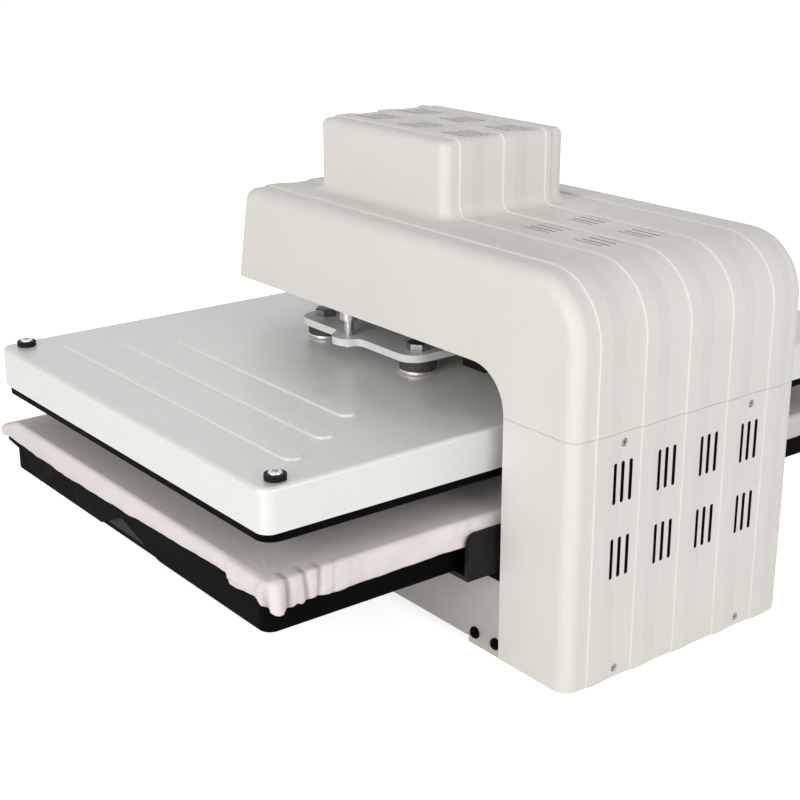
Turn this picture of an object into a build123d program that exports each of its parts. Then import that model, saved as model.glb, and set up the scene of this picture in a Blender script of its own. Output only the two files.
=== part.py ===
from build123d import *
import math
import os

os.makedirs("parts", exist_ok=True)

# Automatic heat press: an electric press for transfers, with a 400 x 600 mm heated platen.
# Millimetres. +Z is up, the floor is Z = 0, and Y = 0 is the press's plane of symmetry.
# The operator stands at -X. The column and its vents are at +X.

# Heights, from the floor up
casing_clear = 1.8
casing_top_z = 306.8
beam_under_z = 227.0
seam_z = 192.7
foot_h = 5.0
arm_top_z = 63.0
rail_h = 8.3
angle_t = 3.5
tray_h = 22.0
pad_stack_h = 21.3
press_gap = 25.7

# The press axis, which the screw, the spider and both platens share
press_x = -31.0

# Fits and gaps between pieces
seat_gap = 0.2
run_gap = 0.3
shaft_play = 0.05
shank_play = 0.25
seam_gap = 0.3

# Casing
near_w = 113.0
far_w = 121.7
wall_t = 3.0
column_t = 73.0
column_gap = 8.0
beam_reach = 356.0
front_lean = 16.5
inner_corner_r = 34.0
outer_corner_r = 50.0
edge_r = 12.0
box_l = 168.0
box_w = 126.0
box_ahead = 1.5
box_h = 60.0
box_corner_r = 10.0
box_top_r = 7.0
box_foot_r = 8.0

# Stepped ribs that run round the casing
step_h = 1.3
step_first = 20.8
step_pitch = 44.35
step_count = 5
land_w = 12.0
ramp_w = 13.0
step_edge = 0.5

# Vent slots
slot_w = 3.3
slot_l = 31.3
slot_pitch = 8.0
slot_offset = 27.6
rear_slot_z = (97.8, 155.3)
top_slot_w = 1.9
top_slot_l = 28.5
top_slot_pitch = 7.3
top_slot_x = (117.0, 172.5)
top_slot_shift = 30.3
box_slot_pitch = 6.0
box_slot_x = (-53.5, 3.5, 60.0)
box_slot_shift = 23.3
box_slot_l = 30.0

# Upper platen
plate_l = 400.0
plate_w = 600.0
plate_t = 18.0
plate_corner_r = 7.0
plate_proud = 0.7
cover_over_l = 3.0
cover_over_w = 10.0
cover_h = 32.3
cover_t = 1.5
cover_corner_r = 10.0
cover_edge_r = 3.0
rim_h = 7.0
rim_inset = 2.2
rim_corner_r = 12.0
rim_gap = 0.1
blanket_t = 8.0
element_d = 8.0
emboss_w = 17.5
emboss_h = 1.6
emboss_in_y = (49.2, 90.2, 130.2)
emboss_in_x = (31.5, 53.0, 80.5)
corner_screw_in_x = 13.5
corner_screw_in_y = 18.5
washer_d = 15.5
washer_h = 4.2
washer_seat = 1.5
cover_screw_d = 5.0
cover_screw_head_d = 10.0
cover_screw_head_h = 3.0
boss_d = 22.0
corner_boss_d = 12.0

# Spider plate, buffers, bolts and guide rods
spider_t = 6.0
spider_back = 3.0
buffer_d = 30.0
buffer_h = 8.5
disc_d = 31.0
disc_t = 3.5
disc_edge_r = 1.2
spider_half_x = 79.0
spider_half_y = 95.0
spider_corner_r = 16.0
bolt_x = 63.5
bolt_y = 75.7
bolt_turns = (15.0, 40.0, 41.0, 15.0)
rod_y = 95.0
rod_lobe_r = 14.0
rod_lobe_foot_r = 8.0
bolt_d = 10.0
bolt_af = 16.0
bolt_head_h = 6.4
rod_d = 8.0
rod_l = 84.0
bush_d = 15.0
bush_drop = 11.7
bush_flange_d = 18.0
bush_flange_t = 3.0

# Drive
screw_d = 16.0
nut_d = 28.0
nut_h = 28.0
nut_flange_d = 46.0
nut_flange_t = 8.0
screw_end_gap = 1.2
head_plate_t = 12.0
head_plate_l = 150.0
head_plate_w = 216.0
head_plate_over = 6.0
bearing_d = 50.0
bearing_h = 14.0
gearbox_d = 74.0
gearbox_h = 42.0
motor_d = 58.0
motor_h = 56.0

# Steel C frame inside the casing
frame_t = 8.0
frame_y = 62.0
frame_beam_h = 44.0
frame_front_x = -120.0
frame_back_gap = 13.0
frame_column_t = 48.0
tie_t = 3.0

# Lower arm and tray
arm_front_x = -200.0
arm_setback = 2.7
arm_sheet_t = 1.5
arm_corner_r = 8.0
arm_screw_d = 5.0
arm_screw_head_d = 9.5
arm_screw_head_h = 2.75
arm_screw_x_in = (29.4, 6.0)
arm_screw_z = 10.7
strip_reach = 38.5
rail_w = 12.0
angle_l = 282.0
angle_leg = 40.0
angle_up_h = 36.7
angle_corner_r = 9.0
angle_rear_gap = 3.4
tray_in_l = 5.8
tray_over_w = 1.4
tray_t = 3.2
tray_corner_r = 10.0
tray_front_r = 3.6
tray_edge_r = 3.0
side_wall_h = 7.3
lip_reach = 27.0
lip_root_t = 4.6
lip_tip_t = 1.8
lip_in = 2.0
lip_corner_r = 6.0
notch_left_x = -79.0
notch_apex_x = -40.0
notch_right_x = 27.0
notch_h = 17.5
board_t = 5.0
board_in = 1.0
pad_over_l = 0.5
pad_over_w = 4.0
cloth_t = 0.8
cloth_loose_w = 2.8
cloth_lift = 1.7
cloth_front_in = 18.0
cloth_tip_in = 2.0
cloth_back_in = 1.5

# Controls on the beam's front end
panel_w = 180.0
panel_h = 62.0
panel_t = 3.0
panel_z = 267.0
panel_corner_r = 6.0
panel_flange = 5.0
panel_board_t = 1.6
panel_board_in = 12.0
display_h = 40.0
display_in = 13.0
display_from_estop = 59.0
key_d = 13.0
key_foot_w = 1.5
key_travel = 1.5
key_from_estop = (26.0, 44.0)
key_dz = 11.0
estop_in = 22.0
estop_d = 30.0
estop_h = 11.0
estop_stem_d = 14.0
estop_collar_w = 4.0
estop_collar_l = 10.0
estop_travel = 4.0

# Power entry on the column's far side
inlet_z = 60.0
inlet_l = 27.0
inlet_h = 20.0
inlet_depth = 22.0
inlet_flange_l = 48.0
inlet_flange_t = 2.2
switch_z = 104.0
switch_l = 27.0
switch_h = 21.0
switch_depth = 18.0
switch_flange = 2.0
inlet_x_in = 36.0
rocker_l = 18.0
rocker_h = 14.0
rocker_rise = 2.6
rocker_pivot_d = 3.0
rocker_pivot_in = 5.0

# Electrics inside the column
supply_l = 26.0
supply_w = 100.0
supply_h = 78.0
supply_base_h = 18.0
circuit_w = 44.0
circuit_h = 84.0
circuit_t = 1.6
circuit_z = 148.0
circuit_stand = 6.0
sink_h = 58.0
sink_t = 4.0
sink_fin_h = 14.0
sink_fins = 7
spacer_d = 14.0

# Fan
fan_size = 60.0
fan_t = 15.0
fan_bore_r = 28.0
rotor_r = 26.5
hub_rotor_r = 12.0
fan_shaft_d = 3.0
fan_blades = 7

# Places worked out from the sizes above
cover_l = plate_l + 2 * cover_over_l
cover_w = plate_w + 2 * cover_over_w
column_in_x = press_x + cover_l / 2 + column_gap
rear_x = column_in_x + column_t
beam_end_x = column_in_x - beam_reach
flat_rear_x = rear_x - step_h
shell_in = step_h + wall_t
half_w = near_w
side_in = half_w - wall_t
box_x = press_x - box_ahead
lean = math.atan2(front_lean, casing_top_z - beam_under_z)
step_y = [-half_w + step_first + i * step_pitch for i in range(step_count)]
box_top_z = casing_top_z + box_h
rail_z = arm_top_z
angle_z = rail_z + rail_h
tray_z = angle_z + angle_t + seat_gap
tray_top_z = tray_z + tray_h - seat_gap
pad_top_z = tray_top_z + pad_stack_h
plate_z = pad_top_z + press_gap
plate_top_z = plate_z + plate_t
rim_z = plate_z + plate_proud
cover_z = rim_z + rim_h
cover_top_z = cover_z + cover_h
boss_top_z = cover_top_z - cover_t
spider_z = cover_top_z + disc_t + buffer_h
spider_top_z = spider_z + spider_t
bush_z = beam_under_z - bush_drop
head_plate_z = beam_under_z + head_plate_over
head_top_z = head_plate_z + head_plate_t
gearbox_z = head_top_z + bearing_h
motor_z = gearbox_z + gearbox_h
frame_back_x = rear_x - frame_back_gap
frame_top_z = head_top_z + frame_beam_h
frame_in_x = frame_back_x - frame_column_t
frame_bottom_z = foot_h + tie_t
frame_arm_top_z = arm_top_z - arm_sheet_t
arm_half_w = half_w - arm_setback
inner_half_w = arm_half_w - arm_sheet_t
pad_l = plate_l + 2 * pad_over_l
pad_w = plate_w + 2 * pad_over_w
tray_l = pad_l - 2 * tray_in_l
tray_w = pad_w + 2 * tray_over_w
cloth_w = pad_w + 2 * cloth_loose_w
estop_y = estop_in - panel_w / 2
key_y = [estop_y + reach for reach in key_from_estop]
display_w = panel_w / 2 - display_in - estop_y - display_from_estop
display_y = panel_w / 2 - display_in - display_w / 2
bolt_spots = [(press_x + spider_back + i * bolt_x, j * bolt_y) for i in (-1, 1) for j in (-1, 1)]
rod_spots = [(press_x, j * rod_y) for j in (-1, 1)]
corner_spots = [
    (press_x + i * (cover_l / 2 - corner_screw_in_x), j * (cover_w / 2 - corner_screw_in_y))
    for i in (-1, 1)
    for j in (-1, 1)
]
pieces = []


def near(value, target):
    """True where a coordinate lies on a named face of the model."""
    return abs(value - target) < 1e-3


def front_at(z):
    """X of the beam's sloping front face at a height."""
    return beam_end_x + front_lean * (z - beam_under_z) / (casing_top_z - beam_under_z)


# The plane of the sloping front face, and the direction from it into the beam
front_face = Plane(
    origin=(front_at(panel_z), 0, panel_z), x_dir=(0, -1, 0), z_dir=(-math.cos(lean), 0, math.sin(lean))
)
inward = Axis(front_face.origin, -front_face.z_dir)


# Casing: two painted shells with one continuous surface. The stepped ribs run over the beam,
# round the rear corner and down the vent face. The top box covers the drive motor.
def casing_block(shell, bottom_z):
    """Beam, column and top box as one rounded block. The steps stand out from it by step_h."""
    inset = step_h + shell
    top_z = casing_top_z - inset
    near_y = shell - near_w
    far_y = far_w - shell
    back_x = rear_x - inset
    throat_x = column_in_x + shell
    under_z = beam_under_z + shell
    with BuildPart() as block:
        with BuildSketch(Plane.XZ.offset(-far_y)) as side:
            with BuildLine():
                Polyline(
                    (front_at(under_z) + inset, under_z),
                    (throat_x, under_z),
                    (throat_x, bottom_z),
                    (back_x, bottom_z),
                    (back_x, top_z),
                    (front_at(top_z) + inset, top_z),
                    close=True,
                )
            make_face()
            throat = [v for v in side.vertices() if near(v.X, throat_x) and near(v.Y, under_z)]
            fillet(throat, inner_corner_r + shell)
            outer = [v for v in side.vertices() if near(v.X, back_x) and near(v.Y, top_z)]
            fillet(outer, outer_corner_r - inset)
        extrude(amount=far_y - near_y)
        with BuildSketch(Plane.XY.offset(top_z - 1)):
            with Locations((box_x, 0)):
                RectangleRounded(box_l - 2 * inset, box_w - 2 * shell, box_corner_r - inset)
        extrude(amount=box_h + 1)
        box_rim = [e for e in block.edges() if near(e.center().Z, top_z + box_h)]
        fillet(box_rim, box_top_r - inset)
        box_foot = [
            e
            for e in block.edges()
            if near(e.center().Z, top_z)
            and abs(e.center().Y) < box_w / 2
            and abs(e.center().X - box_x) < box_l / 2
        ]
        fillet(box_foot, box_foot_r + inset)
        rounded = []
        for e in block.edges():
            c = e.center()
            on_side = near(c.Y, near_y) or near(c.Y, far_y)
            on_front = near(c.X, front_at(c.Z) + inset)
            on_top = near(c.Z, top_z)
            on_back = near(c.X, back_x) and c.Z > bottom_z + 1
            on_arc = c.X > back_x - outer_corner_r and c.Z > top_z - outer_corner_r
            if on_side and (on_front or on_top or on_back or on_arc):
                rounded.append(e)
            if on_front and on_top:
                rounded.append(e)
        fillet(rounded, edge_r - inset)
    return block.part


def rib(y, land, ramp, over_box):
    """One raised step: a riser facing -Y, a land, and a ramp back to the flat of the casing."""
    top = casing_top_z
    box_a = box_x + box_l / 2
    box_b = box_x - box_l / 2
    with BuildPart() as strip:
        with BuildLine() as path:
            if over_box:
                FilletPolyline(
                    (column_in_x - inner_corner_r, y, top),
                    (box_a, y, top),
                    (box_a, y, top + box_h / 2),
                    radius=box_foot_r,
                )
                FilletPolyline(
                    (box_a, y, top + box_h / 2),
                    (box_a, y, top + box_h),
                    (box_b, y, top + box_h),
                    (box_b, y, top + box_h / 2),
                    radius=box_top_r,
                )
                FilletPolyline(
                    (box_b, y, top + box_h / 2),
                    (box_b, y, top),
                    (front_at(top) + 2 * edge_r, y, top),
                    radius=box_foot_r,
                )
            else:
                FilletPolyline(
                    (rear_x, y, casing_clear),
                    (rear_x, y, top),
                    (press_x, y, top),
                    radius=outer_corner_r,
                )
                FilletPolyline(
                    (press_x, y, top),
                    (front_at(top), y, top),
                    (beam_end_x, y, beam_under_z),
                    radius=edge_r,
                )
        start = path.line @ 0
        with BuildSketch(Plane(origin=start, x_dir=(0, 1, 0), z_dir=path.line % 0)) as section:
            with BuildLine():
                Polyline(
                    (0, step_h + 1),
                    (0, step_edge),
                    (step_edge, 0),
                    (land, 0),
                    (land + ramp, step_h),
                    (land + ramp, step_h + 1),
                    close=True,
                )
            make_face()
        sweep()
    return strip.part


def slots(plane, count, pitch, length, width, centre, turn, depth):
    """A row of vent slots, as the solids that cut them."""
    with BuildPart() as row:
        with BuildSketch(plane):
            for i in range(count):
                shift = (i - (count - 1) / 2) * pitch
                spot = (centre[0] + shift, centre[1]) if turn else (centre[0], centre[1] + shift)
                with Locations(spot):
                    SlotOverall(length, width, rotation=90 if turn else 0)
        extrude(amount=depth, both=True)
    return row.part


box_step_y = [y for y in step_y if abs(y) < box_w / 2]
vent_plane = Plane(origin=(rear_x, 0, 0), x_dir=(0, 1, 0), z_dir=(1, 0, 0))
vent_rows = [
    slots(vent_plane, 3, slot_pitch, slot_l, slot_w, (y + slot_offset, z), True, 3 * wall_t)
    for y in step_y[:-1]
    for z in rear_slot_z
]
vent_rows += [
    slots(
        Plane.XY.offset(casing_top_z), 4, top_slot_pitch, top_slot_l, top_slot_w,
        (x, y + top_slot_shift), False, 3 * wall_t,
    )
    for y in step_y[1:3]
    for x in top_slot_x
]
vent_rows += [
    slots(
        Plane.XY.offset(box_top_z), 5, box_slot_pitch, box_slot_l, top_slot_w,
        (press_x + x, y + box_slot_shift), False, 3 * wall_t,
    )
    for y in box_step_y[:2]
    for x in box_slot_x
]
rear_screw_spots = [
    (y, z) for y in (step_y[0] + slot_offset + 0.5, step_y[3] + slot_offset + 0.5)
    for z in (casing_clear + 7.2, seam_z - 8)
]
rear_screw_d = 3.0
rear_screw_head_d = 5.6
rear_screw_head_h = 1.5
rear_screw_sink = 1.8
under_l = 190.0
under_w = 2 * side_in - 10
arm_slot_top_z = frame_arm_top_z + 3
strip_slot_top_z = frame_bottom_z + run_gap

with BuildPart() as casing:
    add(casing_block(0, casing_clear))
    for y in step_y[:-1]:
        add(rib(y, land_w, ramp_w, False))
    add(rib(step_y[-1], land_w, ramp_w - 3, False))
    for y in box_step_y[:2]:
        add(rib(y, land_w, ramp_w, True))
    add(rib(box_step_y[2], land_w / 2 - 1, 3, True))
    add(casing_block(wall_t, casing_clear - 2), mode=Mode.SUBTRACT)
    for row in vent_rows:
        add(row, mode=Mode.SUBTRACT)
    with BuildSketch(Plane(origin=(rear_x + 1, 0, 0), x_dir=(0, 1, 0), z_dir=(1, 0, 0))):
        with Locations(*rear_screw_spots):
            Circle(rear_screw_d / 2 + shank_play)
    extrude(amount=-3 * wall_t, mode=Mode.SUBTRACT)
    with BuildSketch(Plane(origin=(flat_rear_x - rear_screw_sink, 0, 0), x_dir=(0, 1, 0), z_dir=(1, 0, 0))):
        with Locations(*rear_screw_spots):
            Circle(rear_screw_head_d / 2 + run_gap)
    extrude(amount=wall_t, mode=Mode.SUBTRACT)
    # Opening in the beam's underside for the drive, closed by its own sheet
    with BuildSketch(Plane.XY.offset(beam_under_z - 1)):
        with Locations((press_x, 0)):
            RectangleRounded(under_l, under_w, 6)
    extrude(amount=wall_t + step_h + 2, mode=Mode.SUBTRACT)
    # Opening at the foot of the column for the arms of the frame and the base strips
    with BuildSketch(Plane.YZ.offset(column_in_x - 1)):
        with Locations((0, arm_slot_top_z / 2)):
            Rectangle(2 * (frame_y + frame_t + 4), arm_slot_top_z)
        with Locations((0, strip_slot_top_z / 2)):
            Rectangle(2 * (inner_half_w), strip_slot_top_z)
    extrude(amount=wall_t + step_h + 2, mode=Mode.SUBTRACT)
    # Window for the control panel
    with BuildSketch(front_face.offset(1)):
        RectangleRounded(
            panel_w - 2 * panel_flange, panel_h - 2 * panel_flange, panel_corner_r - panel_flange / 2
        )
    extrude(amount=-wall_t - step_h - 3, mode=Mode.SUBTRACT)
    # Cut-outs for the power inlet and the mains switch
    with BuildSketch(Plane.XZ.offset(-far_w - 1)):
        with Locations((column_in_x + inlet_x_in, inlet_z)):
            Rectangle(inlet_l + 2 * shank_play, inlet_h + 2 * shank_play)
        with Locations((column_in_x + inlet_x_in, switch_z)):
            Rectangle(switch_l + 2 * shank_play, switch_h + 2 * shank_play)
    extrude(amount=wall_t + step_h + 3, mode=Mode.SUBTRACT)

above_seam = Box(
    3 * beam_reach, beam_reach, casing_top_z, align=(Align.CENTER, Align.CENTER, Align.MIN)
)

with BuildPart() as casing_upper:
    add(casing.part)
    add(Pos(0, 0, seam_z + seam_gap / 2) * above_seam, mode=Mode.INTERSECT)
casing_upper.part.label = "casing_upper"
pieces.append(casing_upper.part)

with BuildPart() as casing_lower:
    add(casing.part)
    add(Pos(0, 0, seam_z - seam_gap / 2) * above_seam, mode=Mode.SUBTRACT)
casing_lower.part.label = "casing_lower"
pieces.append(casing_lower.part)

with BuildPart() as beam_underside:
    with BuildSketch(Plane.XY.offset(beam_under_z + wall_t)) as under:
        with Locations((press_x, 0)):
            RectangleRounded(under_l + 10, under_w + 8, 4)
        with Locations((press_x, 0)):
            Circle(nut_flange_d / 2 + 3, mode=Mode.SUBTRACT)
        with Locations(*rod_spots):
            Circle(bush_d / 2 + run_gap, mode=Mode.SUBTRACT)
    extrude(amount=head_plate_over - wall_t)
beam_underside.part.label = "beam_underside"
pieces.append(beam_underside.part)


# Fasteners. Each kind is one node, with a cross or hex recess as bought.
def pan_screw(head_d, head_h, shank_d, shank_l):
    """Cross-recess pan-head screw, with its head's seat at Z = 0 and its shank down."""
    with BuildPart() as screw:
        Cylinder(head_d / 2, head_h, align=(Align.CENTER, Align.CENTER, Align.MIN))
        fillet(screw.edges().group_by(Axis.Z)[-1], head_h * 0.45)
        if shank_l:
            Cylinder(shank_d / 2, shank_l, align=(Align.CENTER, Align.CENTER, Align.MAX))
        with Locations((0, 0, head_h)):
            for turn in (0, 90):
                Box(head_d * 0.55, head_d * 0.12, head_h * 1.1, rotation=(0, 0, turn), mode=Mode.SUBTRACT)
    return screw.part


def button_screw(head_d, head_h, shank_d, shank_l, socket_af):
    """Socket button-head screw, with its head's seat at Z = 0 and its shank down."""
    with BuildPart() as screw:
        Cylinder(head_d / 2, head_h, align=(Align.CENTER, Align.CENTER, Align.MIN))
        fillet(screw.edges().group_by(Axis.Z)[-1], head_h * 0.7)
        Cylinder(shank_d / 2, shank_l, align=(Align.CENTER, Align.CENTER, Align.MAX))
        with BuildSketch(Plane.XY.offset(head_h)):
            RegularPolygon(socket_af / 2, 6, major_radius=False)
        extrude(amount=-head_h * 0.6, mode=Mode.SUBTRACT)
    return screw.part


with BuildPart() as casing_screws:
    for y, z in rear_screw_spots:
        seat = Plane(origin=(flat_rear_x - rear_screw_sink, y, z), x_dir=(0, 1, 0), z_dir=(1, 0, 0))
        add(seat.location * pan_screw(rear_screw_head_d, rear_screw_head_h, rear_screw_d, wall_t + 4))
casing_screws.part.label = "casing_screws"
pieces.append(casing_screws.part)

# C frame: two steel plates carry the press force from the drive round to the lower arm.
def frame_plate(y):
    """One C-shaped plate, cut round the throat between the platens."""
    with BuildPart() as plate:
        with BuildSketch(Plane.XZ.offset(-y)) as cut:
            with BuildLine():
                Polyline(
                    (arm_front_x + 2 * arm_corner_r, frame_bottom_z),
                    (frame_back_x, frame_bottom_z),
                    (frame_back_x, frame_top_z),
                    (frame_front_x, frame_top_z),
                    (frame_front_x, head_top_z),
                    (frame_in_x, head_top_z),
                    (frame_in_x, frame_arm_top_z),
                    (arm_front_x + 2 * arm_corner_r, frame_arm_top_z),
                    close=True,
                )
            make_face()
            back = [v for v in cut.vertices() if near(v.X, frame_back_x) and near(v.Y, frame_top_z)]
            fillet(back, outer_corner_r - frame_back_gap / 2)
            throat = [v for v in cut.vertices() if near(v.X, frame_in_x)]
            fillet(throat, 10)
        extrude(amount=frame_t)
    return plate.part


frame_left = frame_plate(frame_y + frame_t)
frame_left.label = "frame_plate_left"
pieces.append(frame_left)
frame_right = frame_plate(-frame_y)
frame_right.label = "frame_plate_right"
pieces.append(frame_right)

with BuildPart() as frame_ties:
    with BuildSketch(Plane.XY.offset(foot_h)):
        with Locations((arm_front_x + 40, 0)):
            Rectangle(50, 2 * (inner_half_w) - 2)
        with Locations(((column_in_x - 34 + frame_back_x - 1) / 2, 0)):
            Rectangle(frame_back_x - 1 - column_in_x + 34, 2 * (inner_half_w) - 2)
    extrude(amount=tie_t)
frame_ties.part.label = "frame_ties"
pieces.append(frame_ties.part)

spacer_x = frame_back_x - 1.5 * spacer_d
spacer_spots = [
    (spacer_x, head_plate_z - 1.5 * spacer_d),
    (spacer_x, frame_bottom_z + supply_h + spacer_d),
    ((arm_front_x + frame_in_x) / 2 + spacer_d, (frame_bottom_z + frame_arm_top_z) / 2),
]
with BuildPart() as frame_spacers:
    for x, z in spacer_spots:
        with BuildSketch(Plane.XZ.offset(-frame_y)):
            with Locations((x, z)):
                Circle(spacer_d / 2)
        extrude(amount=2 * frame_y)
frame_spacers.part.label = "frame_spacers"
pieces.append(frame_spacers.part)

with BuildPart() as rear_bars:
    for y, z in rear_screw_spots:
        if y < 0:
            with BuildSketch(Plane.YZ.offset(frame_back_x)):
                with Locations((0, z)):
                    Rectangle(2 * side_in - 12, 11)
            extrude(amount=flat_rear_x - wall_t - frame_back_x - seat_gap)
    with BuildSketch(Plane.YZ.offset(frame_back_x - 1)):
        with Locations(*rear_screw_spots):
            Circle(rear_screw_d / 2 + shank_play)
    extrude(amount=frame_back_gap, mode=Mode.SUBTRACT)
rear_bars.part.label = "rear_bars"
pieces.append(rear_bars.part)

with BuildPart() as head_plate:
    with BuildSketch(Plane.XY.offset(head_plate_z)):
        with Locations((press_x, 0)):
            RectangleRounded(head_plate_l, head_plate_w, 8)
            Circle(nut_d / 2 + 1, mode=Mode.SUBTRACT)
        with Locations(*rod_spots):
            Circle(bush_d / 2, mode=Mode.SUBTRACT)
    extrude(amount=head_plate_t)
head_plate.part.label = "head_plate"
pieces.append(head_plate.part)

with BuildPart() as guide_bushes:
    for x, y in rod_spots:
        with BuildSketch(Plane.XY.offset(bush_z)):
            with Locations((x, y)):
                Circle(bush_d / 2)
                Circle(rod_d / 2 + shaft_play, mode=Mode.SUBTRACT)
        extrude(amount=head_top_z - bush_z)
        with BuildSketch(Plane.XY.offset(head_top_z)):
            with Locations((x, y)):
                Circle(bush_flange_d / 2)
                Circle(rod_d / 2 + shaft_play, mode=Mode.SUBTRACT)
        extrude(amount=bush_flange_t)
guide_bushes.part.label = "guide_bushes"
pieces.append(guide_bushes.part)

# Drive: a gearmotor stands on the head plate, under the top box, and turns a ball screw.
with BuildPart() as bearing_housing:
    with BuildSketch(Plane.XY.offset(head_top_z)):
        with Locations((press_x, 0)):
            Circle(bearing_d / 2)
            Circle(screw_d / 2 + shaft_play, mode=Mode.SUBTRACT)
    extrude(amount=bearing_h - 8)
    with BuildSketch(Plane.XY.offset(head_top_z + bearing_h - 8)):
        with Locations((press_x, 0)):
            Circle(bearing_d / 2)
            Circle(screw_d / 2 + 6 + run_gap, mode=Mode.SUBTRACT)
    extrude(amount=8)
bearing_housing.part.label = "bearing_housing"
pieces.append(bearing_housing.part)

with BuildPart() as gearbox:
    with BuildSketch(Plane.XY.offset(gearbox_z)):
        with Locations((press_x, 0)):
            Circle(gearbox_d / 2)
    extrude(amount=gearbox_h)
    fillet(gearbox.edges().group_by(Axis.Z)[-1], 3)
    with BuildSketch(Plane.XY.offset(gearbox_z)):
        with Locations((press_x, 0)):
            Circle(screw_d / 2 + shaft_play)
    extrude(amount=gearbox_h / 2, mode=Mode.SUBTRACT)
gearbox.part.label = "gearbox"
pieces.append(gearbox.part)

with BuildPart() as motor_can:
    with BuildSketch(Plane.XY.offset(motor_z)):
        with Locations((press_x, 0)):
            Circle(motor_d / 2)
    extrude(amount=min(motor_h, box_top_z - shell_in - 2 - motor_z))
    fillet(motor_can.edges().group_by(Axis.Z)[-1], 4)
motor_can.part.label = "motor_can"
pieces.append(motor_can.part)

with BuildPart() as drive_screw:
    with BuildSketch(Plane.XY.offset(cover_top_z + screw_end_gap)):
        with Locations((press_x, 0)):
            Circle(screw_d / 2)
    extrude(amount=gearbox_z + gearbox_h / 2 - 1 - cover_top_z - screw_end_gap)
    chamfer(drive_screw.edges().group_by(Axis.Z)[0], 1)
    with BuildSketch(Plane.XY.offset(head_top_z + bearing_h - 8 + run_gap)):
        with Locations((press_x, 0)):
            Circle(screw_d / 2 + 6)
    extrude(amount=8 - 2 * run_gap)
drive_screw.part.label = "drive_screw"
pieces.append(drive_screw.part)

# Spider: one laser-cut plate joins the nut, the guide rods and the four buffers.
with BuildPart() as spider_plate:
    with BuildSketch(Plane.XY.offset(spider_z)) as web:
        with Locations((press_x + spider_back, 0)):
            RectangleRounded(2 * spider_half_x, 2 * spider_half_y, spider_corner_r)
        with Locations(*rod_spots):
            Circle(rod_lobe_r)
        lobe_feet = [
            v for v in web.vertices() if near(abs(v.Y), spider_half_y) and abs(v.X - press_x) < rod_lobe_r + 1
        ]
        fillet(lobe_feet, rod_lobe_foot_r)
        with Locations((press_x, 0)):
            Circle(screw_d / 2 + 1, mode=Mode.SUBTRACT)
        with Locations(*bolt_spots):
            Circle(bolt_d / 2 + shank_play, mode=Mode.SUBTRACT)
        with Locations(*rod_spots):
            Circle(rod_d / 2, mode=Mode.SUBTRACT)
    extrude(amount=spider_t)
spider_plate.part.label = "spider_plate"
pieces.append(spider_plate.part)

with BuildPart() as rubber_buffers:
    for x, y in bolt_spots:
        with BuildSketch(Plane.XY.offset(cover_top_z + disc_t)):
            with Locations((x, y)):
                Circle(buffer_d / 2)
                Circle(bolt_d / 2 + shank_play, mode=Mode.SUBTRACT)
        extrude(amount=buffer_h)
rubber_buffers.part.label = "rubber_buffers"
pieces.append(rubber_buffers.part)

with BuildPart() as buffer_discs:
    for x, y in bolt_spots:
        with BuildSketch(Plane.XY.offset(cover_top_z)):
            with Locations((x, y)):
                Circle(disc_d / 2)
                Circle(bolt_d / 2 + shank_play, mode=Mode.SUBTRACT)
        extrude(amount=disc_t)
    fillet(buffer_discs.edges().filter_by(lambda e: near(e.length, math.pi * disc_d)), disc_edge_r)
buffer_discs.part.label = "buffer_discs"
pieces.append(buffer_discs.part)

with BuildPart() as spider_bolts:
    for (x, y), turn in zip(bolt_spots, bolt_turns):
        with BuildSketch(Plane.XY.offset(spider_top_z)):
            with Locations((x, y)):
                RegularPolygon(bolt_af / 2, 6, major_radius=False, rotation=turn)
        extrude(amount=bolt_head_h)
        with BuildSketch(Plane.XY.offset(plate_top_z)):
            with Locations((x, y)):
                Circle(bolt_d / 2)
        extrude(amount=spider_top_z - plate_top_z)
    chamfer(spider_bolts.edges().group_by(Axis.Z)[-1], 0.6)
spider_bolts.part.label = "spider_bolts"
pieces.append(spider_bolts.part)

with BuildPart() as guide_rods:
    for x, y in rod_spots:
        with BuildSketch(Plane.XY.offset(spider_z - 3)):
            with Locations((x, y)):
                Circle(rod_d / 2)
        extrude(amount=rod_l + 3)
        with BuildSketch(Plane.XY.offset(spider_z - 3)):
            with Locations((x, y)):
                Circle(rod_d / 2 + 2)
        extrude(amount=3)
    chamfer(guide_rods.edges().group_by(Axis.Z)[-1], 0.8)
guide_rods.part.label = "guide_rods"
pieces.append(guide_rods.part)

with BuildPart() as ball_nut:
    with BuildSketch(Plane.XY.offset(spider_top_z)):
        with Locations((press_x, 0)):
            Circle(nut_flange_d / 2)
            Circle(screw_d / 2 + 1, mode=Mode.SUBTRACT)
    extrude(amount=nut_flange_t)
    with BuildSketch(Plane.XY.offset(spider_top_z + nut_flange_t)):
        with Locations((press_x, 0)):
            Circle(nut_d / 2)
            Circle(screw_d / 2 + run_gap, mode=Mode.SUBTRACT)
    extrude(amount=nut_h - nut_flange_t)
ball_nut.part.label = "ball_nut"
pieces.append(ball_nut.part)

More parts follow.
